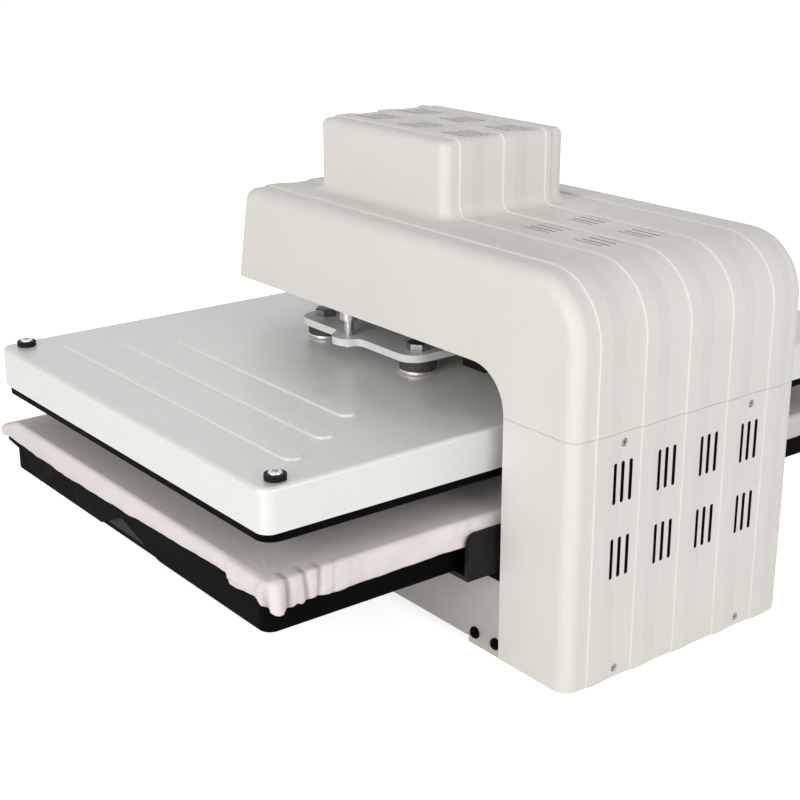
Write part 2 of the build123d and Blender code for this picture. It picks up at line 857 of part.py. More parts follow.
# Upper platen: pressed cover with raised stiffening ribs, blanket, heater plate and rim.
with BuildPart() as platen_cover:
    with BuildSketch(Plane.XY.offset(cover_z)):
        with Locations((press_x, 0)):
            RectangleRounded(cover_l, cover_w, cover_corner_r)
    extrude(amount=cover_h)
    fillet(platen_cover.edges().group_by(Axis.Z)[-1], cover_edge_r)
    with BuildSketch(Plane.XY.offset(cover_top_z)):
        for in_y, in_x in zip(emboss_in_y, emboss_in_x):
            for side in (-1, 1):
                with Locations((press_x, side * (cover_w / 2 - in_y))):
                    SlotOverall(cover_l - 2 * in_x, emboss_w)
    extrude(amount=emboss_h, taper=35)
    with BuildPart(mode=Mode.SUBTRACT) as hollow:
        with BuildSketch(Plane.XY.offset(cover_z - 1)):
            with Locations((press_x, 0)):
                RectangleRounded(cover_l - 2 * cover_t, cover_w - 2 * cover_t, cover_corner_r - cover_t)
        extrude(amount=cover_h - cover_t + 1)
        fillet(hollow.edges().group_by(Axis.Z)[-1], cover_edge_r - cover_t)
    with BuildSketch(Plane.XY.offset(cover_top_z + 1)):
        with Locations(*bolt_spots):
            Circle(bolt_d / 2 + shank_play)
        with Locations(*corner_spots):
            Circle(cover_screw_d / 2 + shank_play)
    extrude(amount=-3 * cover_t - 1, mode=Mode.SUBTRACT)
platen_cover.part.label = "platen_cover"
pieces.append(platen_cover.part)

with BuildPart() as heater_plate:
    with BuildSketch(Plane.XY.offset(plate_z)):
        with Locations((press_x, 0)):
            RectangleRounded(plate_l, plate_w, plate_corner_r)
    extrude(amount=plate_t)
    with BuildSketch(Plane.XY.offset(plate_top_z)):
        with Locations(*bolt_spots):
            Circle(boss_d / 2)
            Circle(bolt_d / 2 + shank_play, mode=Mode.SUBTRACT)
        with Locations(*corner_spots):
            Circle(corner_boss_d / 2)
            Circle(cover_screw_d / 2 + shank_play, mode=Mode.SUBTRACT)
    extrude(amount=boss_top_z - plate_top_z)
heater_plate.part.label = "heater_plate"
pieces.append(heater_plate.part)

with BuildPart() as platen_rim:
    with BuildSketch(Plane.XY.offset(rim_z)):
        with Locations((press_x, 0)):
            RectangleRounded(cover_l - 2 * rim_inset, cover_w - 2 * rim_inset, rim_corner_r)
            RectangleRounded(
                plate_l + 2 * rim_gap, plate_w + 2 * rim_gap, plate_corner_r + rim_gap, mode=Mode.SUBTRACT
            )
    extrude(amount=rim_h)
platen_rim.part.label = "platen_rim"
pieces.append(platen_rim.part)

element_z = plate_top_z + element_d / 2
element_x = plate_l / 2 - 40
element_y = plate_w / 2 - 40
with BuildPart() as heating_elements:
    for side in (-1, 1):
        with BuildLine() as run:
            FilletPolyline(
                (press_x - element_x, side * 20, element_z),
                (press_x - element_x, side * element_y, element_z),
                (press_x - element_x / 3, side * element_y, element_z),
                (press_x - element_x / 3, side * 120, element_z),
                (press_x + element_x / 3, side * 120, element_z),
                (press_x + element_x / 3, side * element_y, element_z),
                (press_x + element_x, side * element_y, element_z),
                (press_x + element_x, side * 20, element_z),
                radius=20,
            )
        with BuildSketch(Plane(origin=run.line @ 0, z_dir=run.line % 0)):
            Circle(element_d / 2)
        sweep(path=run.line)
heating_elements.part.label = "heating_elements"
pieces.append(heating_elements.part)

with BuildPart() as insulation_blanket:
    with BuildSketch(Plane.XY.offset(plate_top_z + element_d + run_gap)):
        with Locations((press_x, 0)):
            Rectangle(plate_l - 8, plate_w - 8)
        with Locations(*bolt_spots):
            Circle(boss_d / 2 + 1, mode=Mode.SUBTRACT)
        with Locations(*corner_spots):
            Rectangle(34, 34, mode=Mode.SUBTRACT)
    extrude(amount=min(blanket_t, boss_top_z - plate_top_z - element_d - 2 * run_gap))
insulation_blanket.part.label = "insulation_blanket"
pieces.append(insulation_blanket.part)

with BuildPart() as platen_washers:
    for x, y in corner_spots:
        with BuildSketch(Plane.XY.offset(cover_top_z)):
            with Locations((x, y)):
                Circle(washer_d / 2)
                Circle(cover_screw_d / 2 + shank_play, mode=Mode.SUBTRACT)
        extrude(amount=washer_h - washer_seat)
        with BuildSketch(Plane.XY.offset(cover_top_z + washer_h - washer_seat)):
            with Locations((x, y)):
                Circle(washer_d / 2)
                Circle(cover_screw_head_d / 2 + shank_play, mode=Mode.SUBTRACT)
        extrude(amount=washer_seat)
    fillet(platen_washers.edges().group_by(Axis.Z)[-1].filter_by(lambda e: e.radius > washer_d / 2 - 1), 0.6)
platen_washers.part.label = "platen_washers"
pieces.append(platen_washers.part)

with BuildPart() as platen_screws:
    for x, y in corner_spots:
        seat = Pos(x, y, cover_top_z + washer_h - washer_seat)
        add(seat * pan_screw(cover_screw_head_d, cover_screw_head_h, cover_screw_d, washer_h + 12))
platen_screws.part.label = "platen_screws"
pieces.append(platen_screws.part)

# Terminal block on the cover, where the heater's wires come out beside the column
block_l = 27.0
block_w = 18.0
block_h = 10.0
block_x = column_in_x - 120.7
block_y = -29.0
block_pitch = 8.5
block_screw_spots = [(block_x + i * block_pitch, block_y) for i in (-1, 0, 1)]
with BuildPart() as terminal_block:
    with BuildSketch(Plane.XY.offset(cover_top_z)):
        with Locations((block_x, block_y)):
            Rectangle(block_l, block_w)
    extrude(amount=block_h)
    chamfer(terminal_block.edges().group_by(Axis.Z)[-1], 1.5)
    with BuildSketch(Plane.XY.offset(cover_top_z + block_h)):
        with Locations(*block_screw_spots):
            Circle(2.6)
    extrude(amount=-3, mode=Mode.SUBTRACT)
terminal_block.part.label = "terminal_block"
pieces.append(terminal_block.part)

with BuildPart() as terminal_screws:
    for x, y in block_screw_spots:
        add(Pos(x, y, cover_top_z + block_h - 3) * pan_screw(4.6, 2.0, 0.0, 0.0))
terminal_screws.part.label = "terminal_screws"
pieces.append(terminal_screws.part)

# Lower arm: the sheet-steel housing round the frame's arms, with its feet.
arm_mid_x = (arm_front_x + column_in_x - seat_gap) / 2
arm_l = column_in_x - seat_gap - arm_front_x
arm_screw_spots = [(column_in_x - x_in, arm_screw_z) for x_in in arm_screw_x_in]
with BuildPart() as arm_housing:
    with BuildSketch(Plane.XY.offset(foot_h)):
        with Locations((arm_mid_x, 0)):
            Rectangle(arm_l, 2 * arm_half_w)
    extrude(amount=arm_top_z - foot_h)
    front_edges = [e for e in arm_housing.edges().filter_by(Axis.Z) if near(e.center().X, arm_front_x)]
    fillet(front_edges, arm_corner_r)
    with BuildPart(mode=Mode.SUBTRACT) as arm_hollow:
        with BuildSketch(Plane.XY.offset(foot_h - 1)):
            with Locations((arm_mid_x + arm_sheet_t, 0)):
                Rectangle(arm_l, 2 * (inner_half_w))
        extrude(amount=arm_top_z - foot_h - arm_sheet_t + 1)
        hollow_edges = [
            e for e in arm_hollow.edges().filter_by(Axis.Z) if near(e.center().X, arm_front_x + arm_sheet_t)
        ]
        fillet(hollow_edges, arm_corner_r - arm_sheet_t)
    with BuildSketch(Plane.XZ.offset(-arm_half_w - 1)):
        with Locations(*arm_screw_spots):
            Circle(arm_screw_d / 2 + shank_play)
    extrude(amount=2 * arm_half_w + 2, mode=Mode.SUBTRACT)
arm_housing.part.label = "arm_housing"
pieces.append(arm_housing.part)

with BuildPart() as arm_screws:
    for x, z in arm_screw_spots:
        for side in (-1, 1):
            seat = Plane(origin=(x, side * arm_half_w, z), x_dir=(1, 0, 0), z_dir=(0, side, 0))
            add(seat.location * button_screw(arm_screw_head_d, arm_screw_head_h, arm_screw_d, 8.0, 3.0))
arm_screws.part.label = "arm_screws"
pieces.append(arm_screws.part)

strip_w = 14.0
strip_l = frame_back_x - column_in_x + strip_reach
with BuildPart() as foot_strips:
    for side in (-1, 1):
        with BuildSketch(Plane.XY):
            with Locations((frame_back_x - strip_l / 2, side * (inner_half_w - strip_w / 2))):
                Rectangle(strip_l, strip_w)
            with Locations((column_in_x - (strip_reach + seat_gap) / 2, side * (inner_half_w))):
                Rectangle(strip_reach - seat_gap, 2 * arm_sheet_t)
        extrude(amount=foot_h)
    ends = [e for e in foot_strips.edges().filter_by(Axis.Z) if near(e.center().X, column_in_x - strip_reach)]
    fillet(ends, 2.4)
foot_strips.part.label = "foot_strips"
pieces.append(foot_strips.part)

with BuildPart() as front_feet:
    for side in (-1, 1):
        with BuildSketch(Plane.XY):
            with Locations((arm_front_x + 34, side * 84)):
                Circle(15)
        extrude(amount=foot_h)
    fillet(front_feet.edges().group_by(Axis.Z)[0], 1.5)
front_feet.part.label = "front_feet"
pieces.append(front_feet.part)

# Bed: two rails on the arm, a rear angle that stops the tray, and a front cross strip.
bed_back_x = column_in_x - angle_rear_gap
with BuildPart() as bed_rails:
    for side in (-1, 1):
        with BuildSketch(Plane.XY.offset(rail_z)):
            with Locations(((arm_front_x + 12 + bed_back_x) / 2, side * (arm_half_w - 0.8 - rail_w / 2))):
                Rectangle(bed_back_x - arm_front_x - 12, rail_w)
        extrude(amount=rail_h)
bed_rails.part.label = "bed_rails"
pieces.append(bed_rails.part)

with BuildPart() as rear_angle:
    with BuildSketch(Plane.XY.offset(angle_z)):
        with Locations((bed_back_x - angle_leg / 2, 0)):
            Rectangle(angle_leg, angle_l)
    extrude(amount=angle_t)
    with BuildSketch(Plane.YZ.offset(bed_back_x - angle_t)):
        with Locations((0, angle_z + angle_up_h / 2)):
            Rectangle(angle_l, angle_up_h)
    extrude(amount=angle_t)
    top_corners = [
        e
        for e in rear_angle.edges().filter_by(Axis.X)
        if near(abs(e.center().Y), angle_l / 2) and near(e.center().Z, angle_z + angle_up_h)
    ]
    fillet(top_corners, angle_corner_r)
rear_angle.part.label = "rear_angle"
pieces.append(rear_angle.part)

with BuildPart() as front_strip:
    with BuildSketch(Plane.XY.offset(angle_z)):
        with Locations((arm_front_x + 12 + angle_leg / 2, 0)):
            Rectangle(angle_leg, angle_l)
    extrude(amount=angle_t)
front_strip.part.label = "front_strip"
pieces.append(front_strip.part)

# Tray: a black pan with a finger notch in each end wall and a pull lip at the front.
# The board, the silicone pad and its cotton cover ride on it.
side_wall_t = tray_over_w - run_gap
tray_x = press_x - 0.3
tray_front_x = tray_x - tray_l / 2
lip_tip_x = tray_front_x - lip_reach


def tray_outline(z, inset):
    """The tray's outline at a height: folded front corners, and rear corners of a wider radius."""
    with BuildSketch(Plane.XY.offset(z)) as outline:
        with Locations((tray_x, 0)):
            Rectangle(tray_l - 2 * inset, tray_w - 2 * inset)
        rear = outline.vertices().sort_by(Axis.X)[2:]
        fillet(rear, tray_corner_r - inset)
        front = outline.vertices().sort_by(Axis.X)[:2]
        fillet(front, tray_front_r - inset)
    return outline.sketch


with BuildPart() as tray:
    add(tray_outline(tray_z, 0))
    extrude(amount=tray_top_z - tray_z)
    fillet(tray.edges().group_by(Axis.Z)[0], tray_edge_r)
    lip_w = tray_w - 2 * lip_in
    with BuildSketch(Plane.XZ.offset(-lip_w / 2)):
        with BuildLine():
            Polyline(
                (tray_front_x + tray_t, tray_top_z),
                (lip_tip_x, tray_top_z),
                (lip_tip_x, tray_top_z - lip_tip_t),
                (tray_front_x, tray_top_z - lip_root_t),
                (tray_front_x + tray_t, tray_top_z - lip_root_t),
                close=True,
            )
        make_face()
    extrude(amount=lip_w)
    lip_ends = [e for e in tray.edges().filter_by(Axis.Z) if near(e.center().X, lip_tip_x)]
    fillet(lip_ends, lip_corner_r)
    add(tray_outline(tray_z + tray_t, tray_t))
    extrude(amount=tray_h, mode=Mode.SUBTRACT)
    # A thin wall stands up on each side of the pad, behind the cover's hem
    with BuildSketch(Plane.XY.offset(tray_top_z - 1)):
        for side in (-1, 1):
            with Locations((tray_x, side * (tray_w - side_wall_t) / 2)):
                Rectangle(tray_l - 2 * tray_corner_r, side_wall_t)
    extrude(amount=1 + side_wall_h)
    with BuildSketch(Plane.XZ.offset(-tray_w / 2 - 1)) as notch:
        with BuildLine():
            Polyline(
                (notch_left_x, tray_z - 1),
                (notch_apex_x, tray_z + notch_h),
                (notch_right_x, tray_z - 1),
                close=True,
            )
        make_face()
        apex = [v for v in notch.vertices() if near(v.X, notch_apex_x)]
        fillet(apex, 9)
    extrude(amount=tray_t + 1, mode=Mode.SUBTRACT)
    with BuildSketch(Plane.XZ.offset(tray_w / 2 + 1)) as notch_far:
        add(notch.sketch_local)
    extrude(amount=-tray_t - 1, mode=Mode.SUBTRACT)
tray.part.label = "tray"
pieces.append(tray.part)

liner_t = 2.0
liner_h = tray_top_z - tray_z - tray_t - seat_gap
with BuildPart() as tray_liners:
    for side in (-1, 1):
        with BuildSketch(Plane.XY.offset(tray_z + tray_t + seat_gap)):
            with Locations((tray_x, side * (tray_w / 2 - tray_t - seat_gap - liner_t / 2))):
                Rectangle(tray_l - 2 * tray_corner_r - 2 * tray_t, liner_t)
        extrude(amount=liner_h - seat_gap)
tray_liners.part.label = "tray_liners"
pieces.append(tray_liners.part)

cloth_back_x = press_x + cover_l / 2 - cloth_back_in
cloth_front_x = lip_tip_x + cloth_tip_in
with BuildPart() as pad_cover:
    with BuildSketch(Plane.XZ.offset(-cloth_w / 2)):
        with BuildLine():
            Polyline(
                (cloth_front_x, tray_top_z + cloth_lift),
                (cloth_front_x + cloth_front_in, pad_top_z),
                (cloth_back_x, pad_top_z),
                (cloth_back_x, tray_top_z + cloth_lift),
                close=True,
            )
        make_face()
    extrude(amount=cloth_w)
    with BuildSketch(Plane.XY.offset(tray_top_z)):
        with Locations((cloth_back_x - cloth_t - run_gap - pad_l / 2, 0)):
            Rectangle(pad_l + 2 * run_gap, pad_w + 2 * run_gap)
    extrude(amount=pad_stack_h - cloth_t, mode=Mode.SUBTRACT)
    with BuildSketch(Plane.XY.offset(tray_top_z)):
        with Locations((cloth_back_x - cloth_t - run_gap - pad_l / 2, 0)):
            Rectangle(pad_l + 2 * run_gap, tray_w + 2 * seat_gap)
    extrude(amount=side_wall_h + run_gap, mode=Mode.SUBTRACT)
pad_cover.part.label = "pad_cover"
pieces.append(pad_cover.part)

pad_x = cloth_back_x - cloth_t - run_gap - pad_l / 2
with BuildPart() as pad_board:
    with BuildSketch(Plane.XY.offset(tray_top_z)):
        with Locations((pad_x, 0)):
            RectangleRounded(pad_l - 2 * board_in, pad_w - 2 * board_in, 4)
    extrude(amount=board_t)
pad_board.part.label = "pad_board"
pieces.append(pad_board.part)

with BuildPart() as silicone_pad:
    with BuildSketch(Plane.XY.offset(tray_top_z + board_t)):
        with Locations((pad_x, 0)):
            Rectangle(pad_l, pad_w)
    extrude(amount=pad_stack_h - cloth_t - board_t - run_gap)
silicone_pad.part.label = "silicone_pad"
pieces.append(silicone_pad.part)

# Control panel on the beam's front end, facing the operator
key_spots = [(-y, side * key_dz) for y in key_y for side in (-1, 1)]
with BuildPart() as control_panel:
    with BuildSketch(front_face):
        RectangleRounded(panel_w, panel_h, panel_corner_r)
        with Locations((-display_y, 0)):
            RectangleRounded(display_w + 2 * shank_play, display_h + 2 * shank_play, 2, mode=Mode.SUBTRACT)
        with Locations(*key_spots):
            Circle(key_d / 2 + run_gap, mode=Mode.SUBTRACT)
        with Locations((-estop_y, 0)):
            Circle(estop_stem_d / 2 + estop_collar_w + shank_play, mode=Mode.SUBTRACT)
    extrude(amount=panel_t)
    fillet(control_panel.faces().sort_by(inward)[0].outer_wire().edges(), 1)
control_panel.part.label = "control_panel"
pieces.append(control_panel.part)

with BuildPart() as display_window:
    with BuildSketch(front_face):
        with Locations((-display_y, 0)):
            RectangleRounded(display_w, display_h, 2)
    extrude(amount=panel_t - 0.4)
display_window.part.label = "display_window"
pieces.append(display_window.part)

panel_board_face = front_face.offset(-shell_in - panel_board_in)
with BuildPart() as panel_board:
    with BuildSketch(panel_board_face):
        Rectangle(panel_w - 6 * panel_flange, panel_h - 4 * panel_flange)
        with Locations((-estop_y, 0)):
            Circle(estop_stem_d / 2 + 1.5 * estop_collar_w, mode=Mode.SUBTRACT)
    extrude(amount=panel_board_t)
    with BuildSketch(panel_board_face.offset(panel_board_t)):
        for y in (display_y - display_w / 2 + panel_flange, display_y + display_w / 2 - panel_flange):
            for z in (-1, 1):
                with Locations((-y, z * (panel_h / 2 - 3 * panel_flange))):
                    Circle(2.5)
    extrude(amount=panel_board_in + shell_in - panel_board_t)
panel_board.part.label = "panel_board"
pieces.append(panel_board.part)


def panel_key(spot):
    """A round key that runs in its hole in the panel, with a foot behind the panel."""
    with BuildPart() as key:
        with BuildSketch(front_face.offset(-1)):
            with Locations(spot):
                Circle(key_d / 2)
        extrude(amount=panel_t + key_travel + 2)
        fillet(key.edges().group_by(inward)[0], 0.8)
        with BuildSketch(front_face.offset(-2.5)):
            with Locations(spot):
                Circle(key_d / 2 + key_foot_w)
        extrude(amount=2.5 - run_gap)
    return key.part


for number, spot in enumerate(key_spots, 1):
    key_part = panel_key(spot)
    key_part.label = f"panel_key_{number}"
    pieces.append(key_part)

with BuildPart() as estop_collar:
    with BuildSketch(front_face.offset(-estop_collar_l)):
        with Locations((-estop_y, 0)):
            Circle(estop_stem_d / 2 + estop_collar_w)
            Circle(estop_stem_d / 2 + run_gap, mode=Mode.SUBTRACT)
    extrude(amount=estop_collar_l + panel_t)
    with BuildSketch(front_face.offset(panel_t)):
        with Locations((-estop_y, 0)):
            Circle(estop_d / 2 + 3)
            Circle(estop_stem_d / 2 + run_gap, mode=Mode.SUBTRACT)
    extrude(amount=2)
estop_collar.part.label = "estop_collar"
pieces.append(estop_collar.part)

with BuildPart() as estop_button:
    with BuildSketch(front_face.offset(2 - estop_collar_l)):
        with Locations((-estop_y, 0)):
            Circle(estop_stem_d / 2)
    extrude(amount=estop_collar_l + panel_t + estop_travel + 1)
    with BuildSketch(front_face.offset(panel_t + 2 + estop_travel + 0.5)):
        with Locations((-estop_y, 0)):
            Circle(estop_d / 2)
    extrude(amount=estop_h)
    fillet(estop_button.edges().group_by(inward)[0], 4)
estop_button.part.label = "estop_button"
pieces.append(estop_button.part)

# Power entry and switch on the column's far side
far_side = Plane(origin=(column_in_x + inlet_x_in, far_w, 0), x_dir=(-1, 0, 0), z_dir=(0, 1, 0))
with BuildPart() as power_inlet:
    with BuildSketch(far_side):
        with Locations((0, inlet_z)):
            RectangleRounded(inlet_flange_l, inlet_h + 4, 4)
    extrude(amount=inlet_flange_t)
    with BuildSketch(far_side):
        with Locations((0, inlet_z)):
            Rectangle(inlet_l, inlet_h)
    extrude(amount=-inlet_depth)
    with BuildSketch(far_side.offset(inlet_flange_t)):
        with Locations((0, inlet_z)):
            RectangleRounded(inlet_l - 3, inlet_h - 3.5, 3)
    extrude(amount=-inlet_depth + 5, mode=Mode.SUBTRACT)
    # The three flat pins, which stand short of the flange
    with BuildSketch(far_side.offset(inlet_flange_t - inlet_depth + 5)):
        with Locations((0, inlet_z + 2), (-7, inlet_z - 2), (7, inlet_z - 2)):
            Rectangle(2, 4)
    extrude(amount=inlet_depth / 2)
power_inlet.part.label = "power_inlet"
pieces.append(power_inlet.part)

rocker_axis = Plane(
    origin=(column_in_x + inlet_x_in, far_w - rocker_pivot_in, switch_z), x_dir=(1, 0, 0), z_dir=(0, 0, 1)
)
with BuildPart() as switch_frame:
    with BuildSketch(far_side):
        with Locations((0, switch_z)):
            RectangleRounded(switch_l + 2 * switch_flange, switch_h + 2 * switch_flange, 2)
    extrude(amount=switch_flange)
    with BuildSketch(far_side):
        with Locations((0, switch_z)):
            Rectangle(switch_l, switch_h)
    extrude(amount=-switch_depth)
    with BuildSketch(far_side.offset(switch_flange)):
        with Locations((0, switch_z)):
            Rectangle(rocker_l + 5, rocker_h + 2 * run_gap)
    extrude(amount=-switch_depth + 1, mode=Mode.SUBTRACT)
    with BuildSketch(rocker_axis.offset(-rocker_h / 2 - 2)):
        Circle(rocker_pivot_d / 2 + shaft_play)
    extrude(amount=rocker_h + 4, mode=Mode.SUBTRACT)
switch_frame.part.label = "switch_frame"
pieces.append(switch_frame.part)

rocker_top = rocker_pivot_in + 1
with BuildPart() as rocker:
    with BuildSketch(rocker_axis.offset(-rocker_h / 2)):
        with BuildLine():
            Polyline(
                (-rocker_l / 2, rocker_top),
                (0, rocker_top),
                (rocker_l / 2, rocker_top + rocker_rise),
                (rocker_l / 2, rocker_top - 0.6),
                (rocker_pivot_d, -rocker_pivot_d),
                (-rocker_pivot_d, -rocker_pivot_d),
                (-rocker_l / 2, rocker_top - 3.4),
                close=True,
            )
        make_face()
    extrude(amount=rocker_h)
    with BuildSketch(rocker_axis.offset(-rocker_h / 2 - 1.8)):
        Circle(rocker_pivot_d / 2)
    extrude(amount=rocker_h + 3.6)
rocker.part.label = "rocker"
pieces.append(rocker.part)

# Electrics in the column
column_mid_x = frame_in_x + frame_column_t / 2
supply_x = column_mid_x - 8
with BuildPart() as power_supply:
    with BuildSketch(Plane.XY.offset(frame_bottom_z)):
        with Locations((supply_x, 0)):
            Rectangle(supply_l, supply_w)
    extrude(amount=supply_base_h)
    with BuildSketch(Plane.XY.offset(frame_bottom_z + supply_base_h)):
        with Locations((supply_x, 0)):
            Rectangle(supply_l - 4, supply_w - 4)
    extrude(amount=supply_h - supply_base_h)
power_supply.part.label = "power_supply"
pieces.append(power_supply.part)

circuit_y = frame_y + frame_t + circuit_stand
with BuildPart() as control_board:
    with BuildSketch(Plane.XZ.offset(-circuit_y - circuit_t)):
        with Locations((column_mid_x, circuit_z)):
            Rectangle(circuit_w, circuit_h)
    extrude(amount=circuit_t)
    with BuildSketch(Plane.XZ.offset(-circuit_y)):
        with Locations((column_mid_x, circuit_z)):
            with GridLocations(circuit_w - 8, circuit_h - 8, 2, 2):
                Circle(2.5)
    extrude(amount=circuit_stand)
    # The two relays on the board
    with BuildSketch(Plane.XZ.offset(-circuit_y - circuit_t - 2 * circuit_stand)):
        with Locations(
            (column_mid_x - circuit_w / 6, circuit_z - circuit_h / 5),
            (column_mid_x + circuit_w / 6, circuit_z + circuit_h / 5),
        ):
            Rectangle(circuit_w / 3, circuit_h / 4)
    extrude(amount=2 * circuit_stand)
control_board.part.label = "control_board"
pieces.append(control_board.part)

with BuildPart() as heater_relay:
    with BuildSketch(Plane.XZ.offset(frame_y + frame_t)):
        with Locations((column_mid_x, circuit_z)):
            Rectangle(circuit_w, sink_h)
    extrude(amount=sink_t)
    with BuildSketch(Plane.XZ.offset(frame_y + frame_t + sink_t)):
        with Locations((column_mid_x, circuit_z)):
            with GridLocations((circuit_w - sink_t / 2) / (sink_fins - 0.2), 1, sink_fins, 1):
                Rectangle(sink_t / 2, sink_h - 2)
    extrude(amount=sink_fin_h)
heater_relay.part.label = "heater_relay"
pieces.append(heater_relay.part)

fan_z = seam_z - 8 - 5.5 - fan_size / 2
fan_face = Plane(origin=(frame_back_x + 5.0, 0, fan_z), x_dir=(0, 1, 0), z_dir=(-1, 0, 0))
with BuildPart() as fan_frame:
    with BuildSketch(fan_face):
        RectangleRounded(fan_size, fan_size, 4)
        Circle(fan_bore_r, mode=Mode.SUBTRACT)
        with GridLocations(fan_size - 10, fan_size - 10, 2, 2):
            Circle(2.1, mode=Mode.SUBTRACT)
    extrude(amount=fan_t)
    with BuildSketch(fan_face.offset(fan_t - 2)):
        Circle(hub_rotor_r + 1)
        for turn in range(4):
            with Locations(Rotation(0, 0, 45 + 90 * turn)):
                with Locations((fan_bore_r / 2 + 1, 0)):
                    Rectangle(fan_bore_r + 2, 3)
        Circle(fan_shaft_d / 2 + shaft_play, mode=Mode.SUBTRACT)
    extrude(amount=2)
fan_frame.part.label = "fan_frame"
pieces.append(fan_frame.part)

with BuildPart() as fan_rotor:
    with BuildSketch(fan_face.offset(0.5)):
        Circle(hub_rotor_r)
    extrude(amount=fan_t - 3)
    with BuildSketch(fan_face.offset(fan_t - 2.5)):
        Circle(fan_shaft_d / 2)
    extrude(amount=2.3)
    for blade in range(fan_blades):
        turn = blade * 360 / fan_blades
        with BuildSketch(fan_face.offset(2)):
            with Locations(Rotation(0, 0, turn)):
                with Locations(((hub_rotor_r + rotor_r) / 2 - 0.5, 0)):
                    Rectangle(rotor_r - hub_rotor_r + 1, 3)
        extrude(amount=fan_t - 6)
fan_rotor.part.label = "fan_rotor"
pieces.append(fan_rotor.part)

for piece in pieces:
    export_step(piece, f"parts/{piece.label}.step")
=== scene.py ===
import bmesh
import bpy
import math
from mathutils import Matrix, Vector, noise


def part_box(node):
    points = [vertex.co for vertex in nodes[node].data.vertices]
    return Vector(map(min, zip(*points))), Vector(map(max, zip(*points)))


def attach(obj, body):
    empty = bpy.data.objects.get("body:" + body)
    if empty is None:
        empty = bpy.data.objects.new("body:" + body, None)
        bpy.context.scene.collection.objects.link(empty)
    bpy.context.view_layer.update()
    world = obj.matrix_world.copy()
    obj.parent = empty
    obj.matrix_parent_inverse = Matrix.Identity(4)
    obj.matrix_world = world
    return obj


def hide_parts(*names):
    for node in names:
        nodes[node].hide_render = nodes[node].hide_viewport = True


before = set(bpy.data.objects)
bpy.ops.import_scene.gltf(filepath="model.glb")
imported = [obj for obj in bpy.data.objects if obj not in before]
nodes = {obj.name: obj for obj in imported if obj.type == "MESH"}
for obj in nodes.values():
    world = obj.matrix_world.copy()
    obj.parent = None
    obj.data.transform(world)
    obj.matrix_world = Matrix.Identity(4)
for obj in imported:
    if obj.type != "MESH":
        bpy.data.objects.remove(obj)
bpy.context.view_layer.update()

# Camera: where the photograph was taken from, behind the press and to the left of its vent face.
camera = bpy.data.objects.new("camera", bpy.data.cameras.new("camera"))
bpy.context.scene.collection.objects.link(camera)
camera.data.sensor_width = 36.0
camera.data.lens = 68.516
camera.data.clip_start = 0.05
camera_place = (0.938779, -0.790467, 0.554757)
camera_heading = 0.913887
camera_dip = 0.330751
camera_roll = -0.00111
camera_turn = Matrix.Rotation(camera_heading, 4, "Z") @ Matrix.Rotation(math.pi / 2 - camera_dip, 4, "X")
camera.matrix_world = (
    Matrix.Translation(camera_place) @ camera_turn @ Matrix.Rotation(camera_roll, 4, "Z")
)
bpy.context.scene.camera = camera

# Studio: a pale floor, a white sweep of light all round that dims overhead, and two large soft lamps.
# The floor shows white to the camera and keeps the shadow of the press.
bpy.context.scene.view_settings.view_transform = "Standard"
world = bpy.data.worlds.new("studio")
bpy.context.scene.world = world
world.use_nodes = True
sky_nodes = world.node_tree.nodes
sky_links = world.node_tree.links
sky_seen = sky_nodes["Background"]
sky_seen.inputs["Color"].default_value = (1.0, 1.0, 1.0, 1.0)
sky_seen.inputs["Strength"].default_value = 1.0
sky_light = sky_nodes.new("ShaderNodeBackground")
sky_light.inputs["Color"].default_value = (1.0, 0.985, 0.965, 1.0)
sky_place = sky_nodes.new("ShaderNodeTexCoord")
sky_split = sky_nodes.new("ShaderNodeSeparateXYZ")
sky_links.new(sky_place.outputs["Generated"], sky_split.inputs[0])
sky_fall = sky_nodes.new("ShaderNodeMapRange")
sky_fall.interpolation_type = "SMOOTHSTEP"
sky_fall.inputs["From Min"].default_value = 0.15
sky_fall.inputs["From Max"].default_value = 0.85
sky_fall.inputs["To Min"].default_value = 0.16
sky_fall.inputs["To Max"].default_value = 0.53
sky_links.new(sky_split.outputs["Z"], sky_fall.inputs["Value"])
sky_links.new(sky_fall.outputs[0], sky_light.inputs["Strength"])


def background_ray(tree):
    """1 for the rays that see a background: the camera's, and those of gloss and glass."""
    path = tree.nodes.new("ShaderNodeLightPath")
    first = tree.nodes.new("ShaderNodeMath")
    first.operation = "MAXIMUM"
    second = tree.nodes.new("ShaderNodeMath")
    second.operation = "MAXIMUM"
    tree.links.new(path.outputs["Is Camera Ray"], first.inputs[0])
    tree.links.new(path.outputs["Is Glossy Ray"], first.inputs[1])
    tree.links.new(first.outputs[0], second.inputs[0])
    tree.links.new(path.outputs["Is Transmission Ray"], second.inputs[1])
    return second.outputs[0]


sky_mix = sky_nodes.new("ShaderNodeMixShader")
sky_links.new(background_ray(world.node_tree), sky_mix.inputs[0])
sky_links.new(sky_light.outputs[0], sky_mix.inputs[1])
sky_links.new(sky_seen.outputs[0], sky_mix.inputs[2])
sky_links.new(sky_mix.outputs[0], sky_nodes["World Output"].inputs["Surface"])

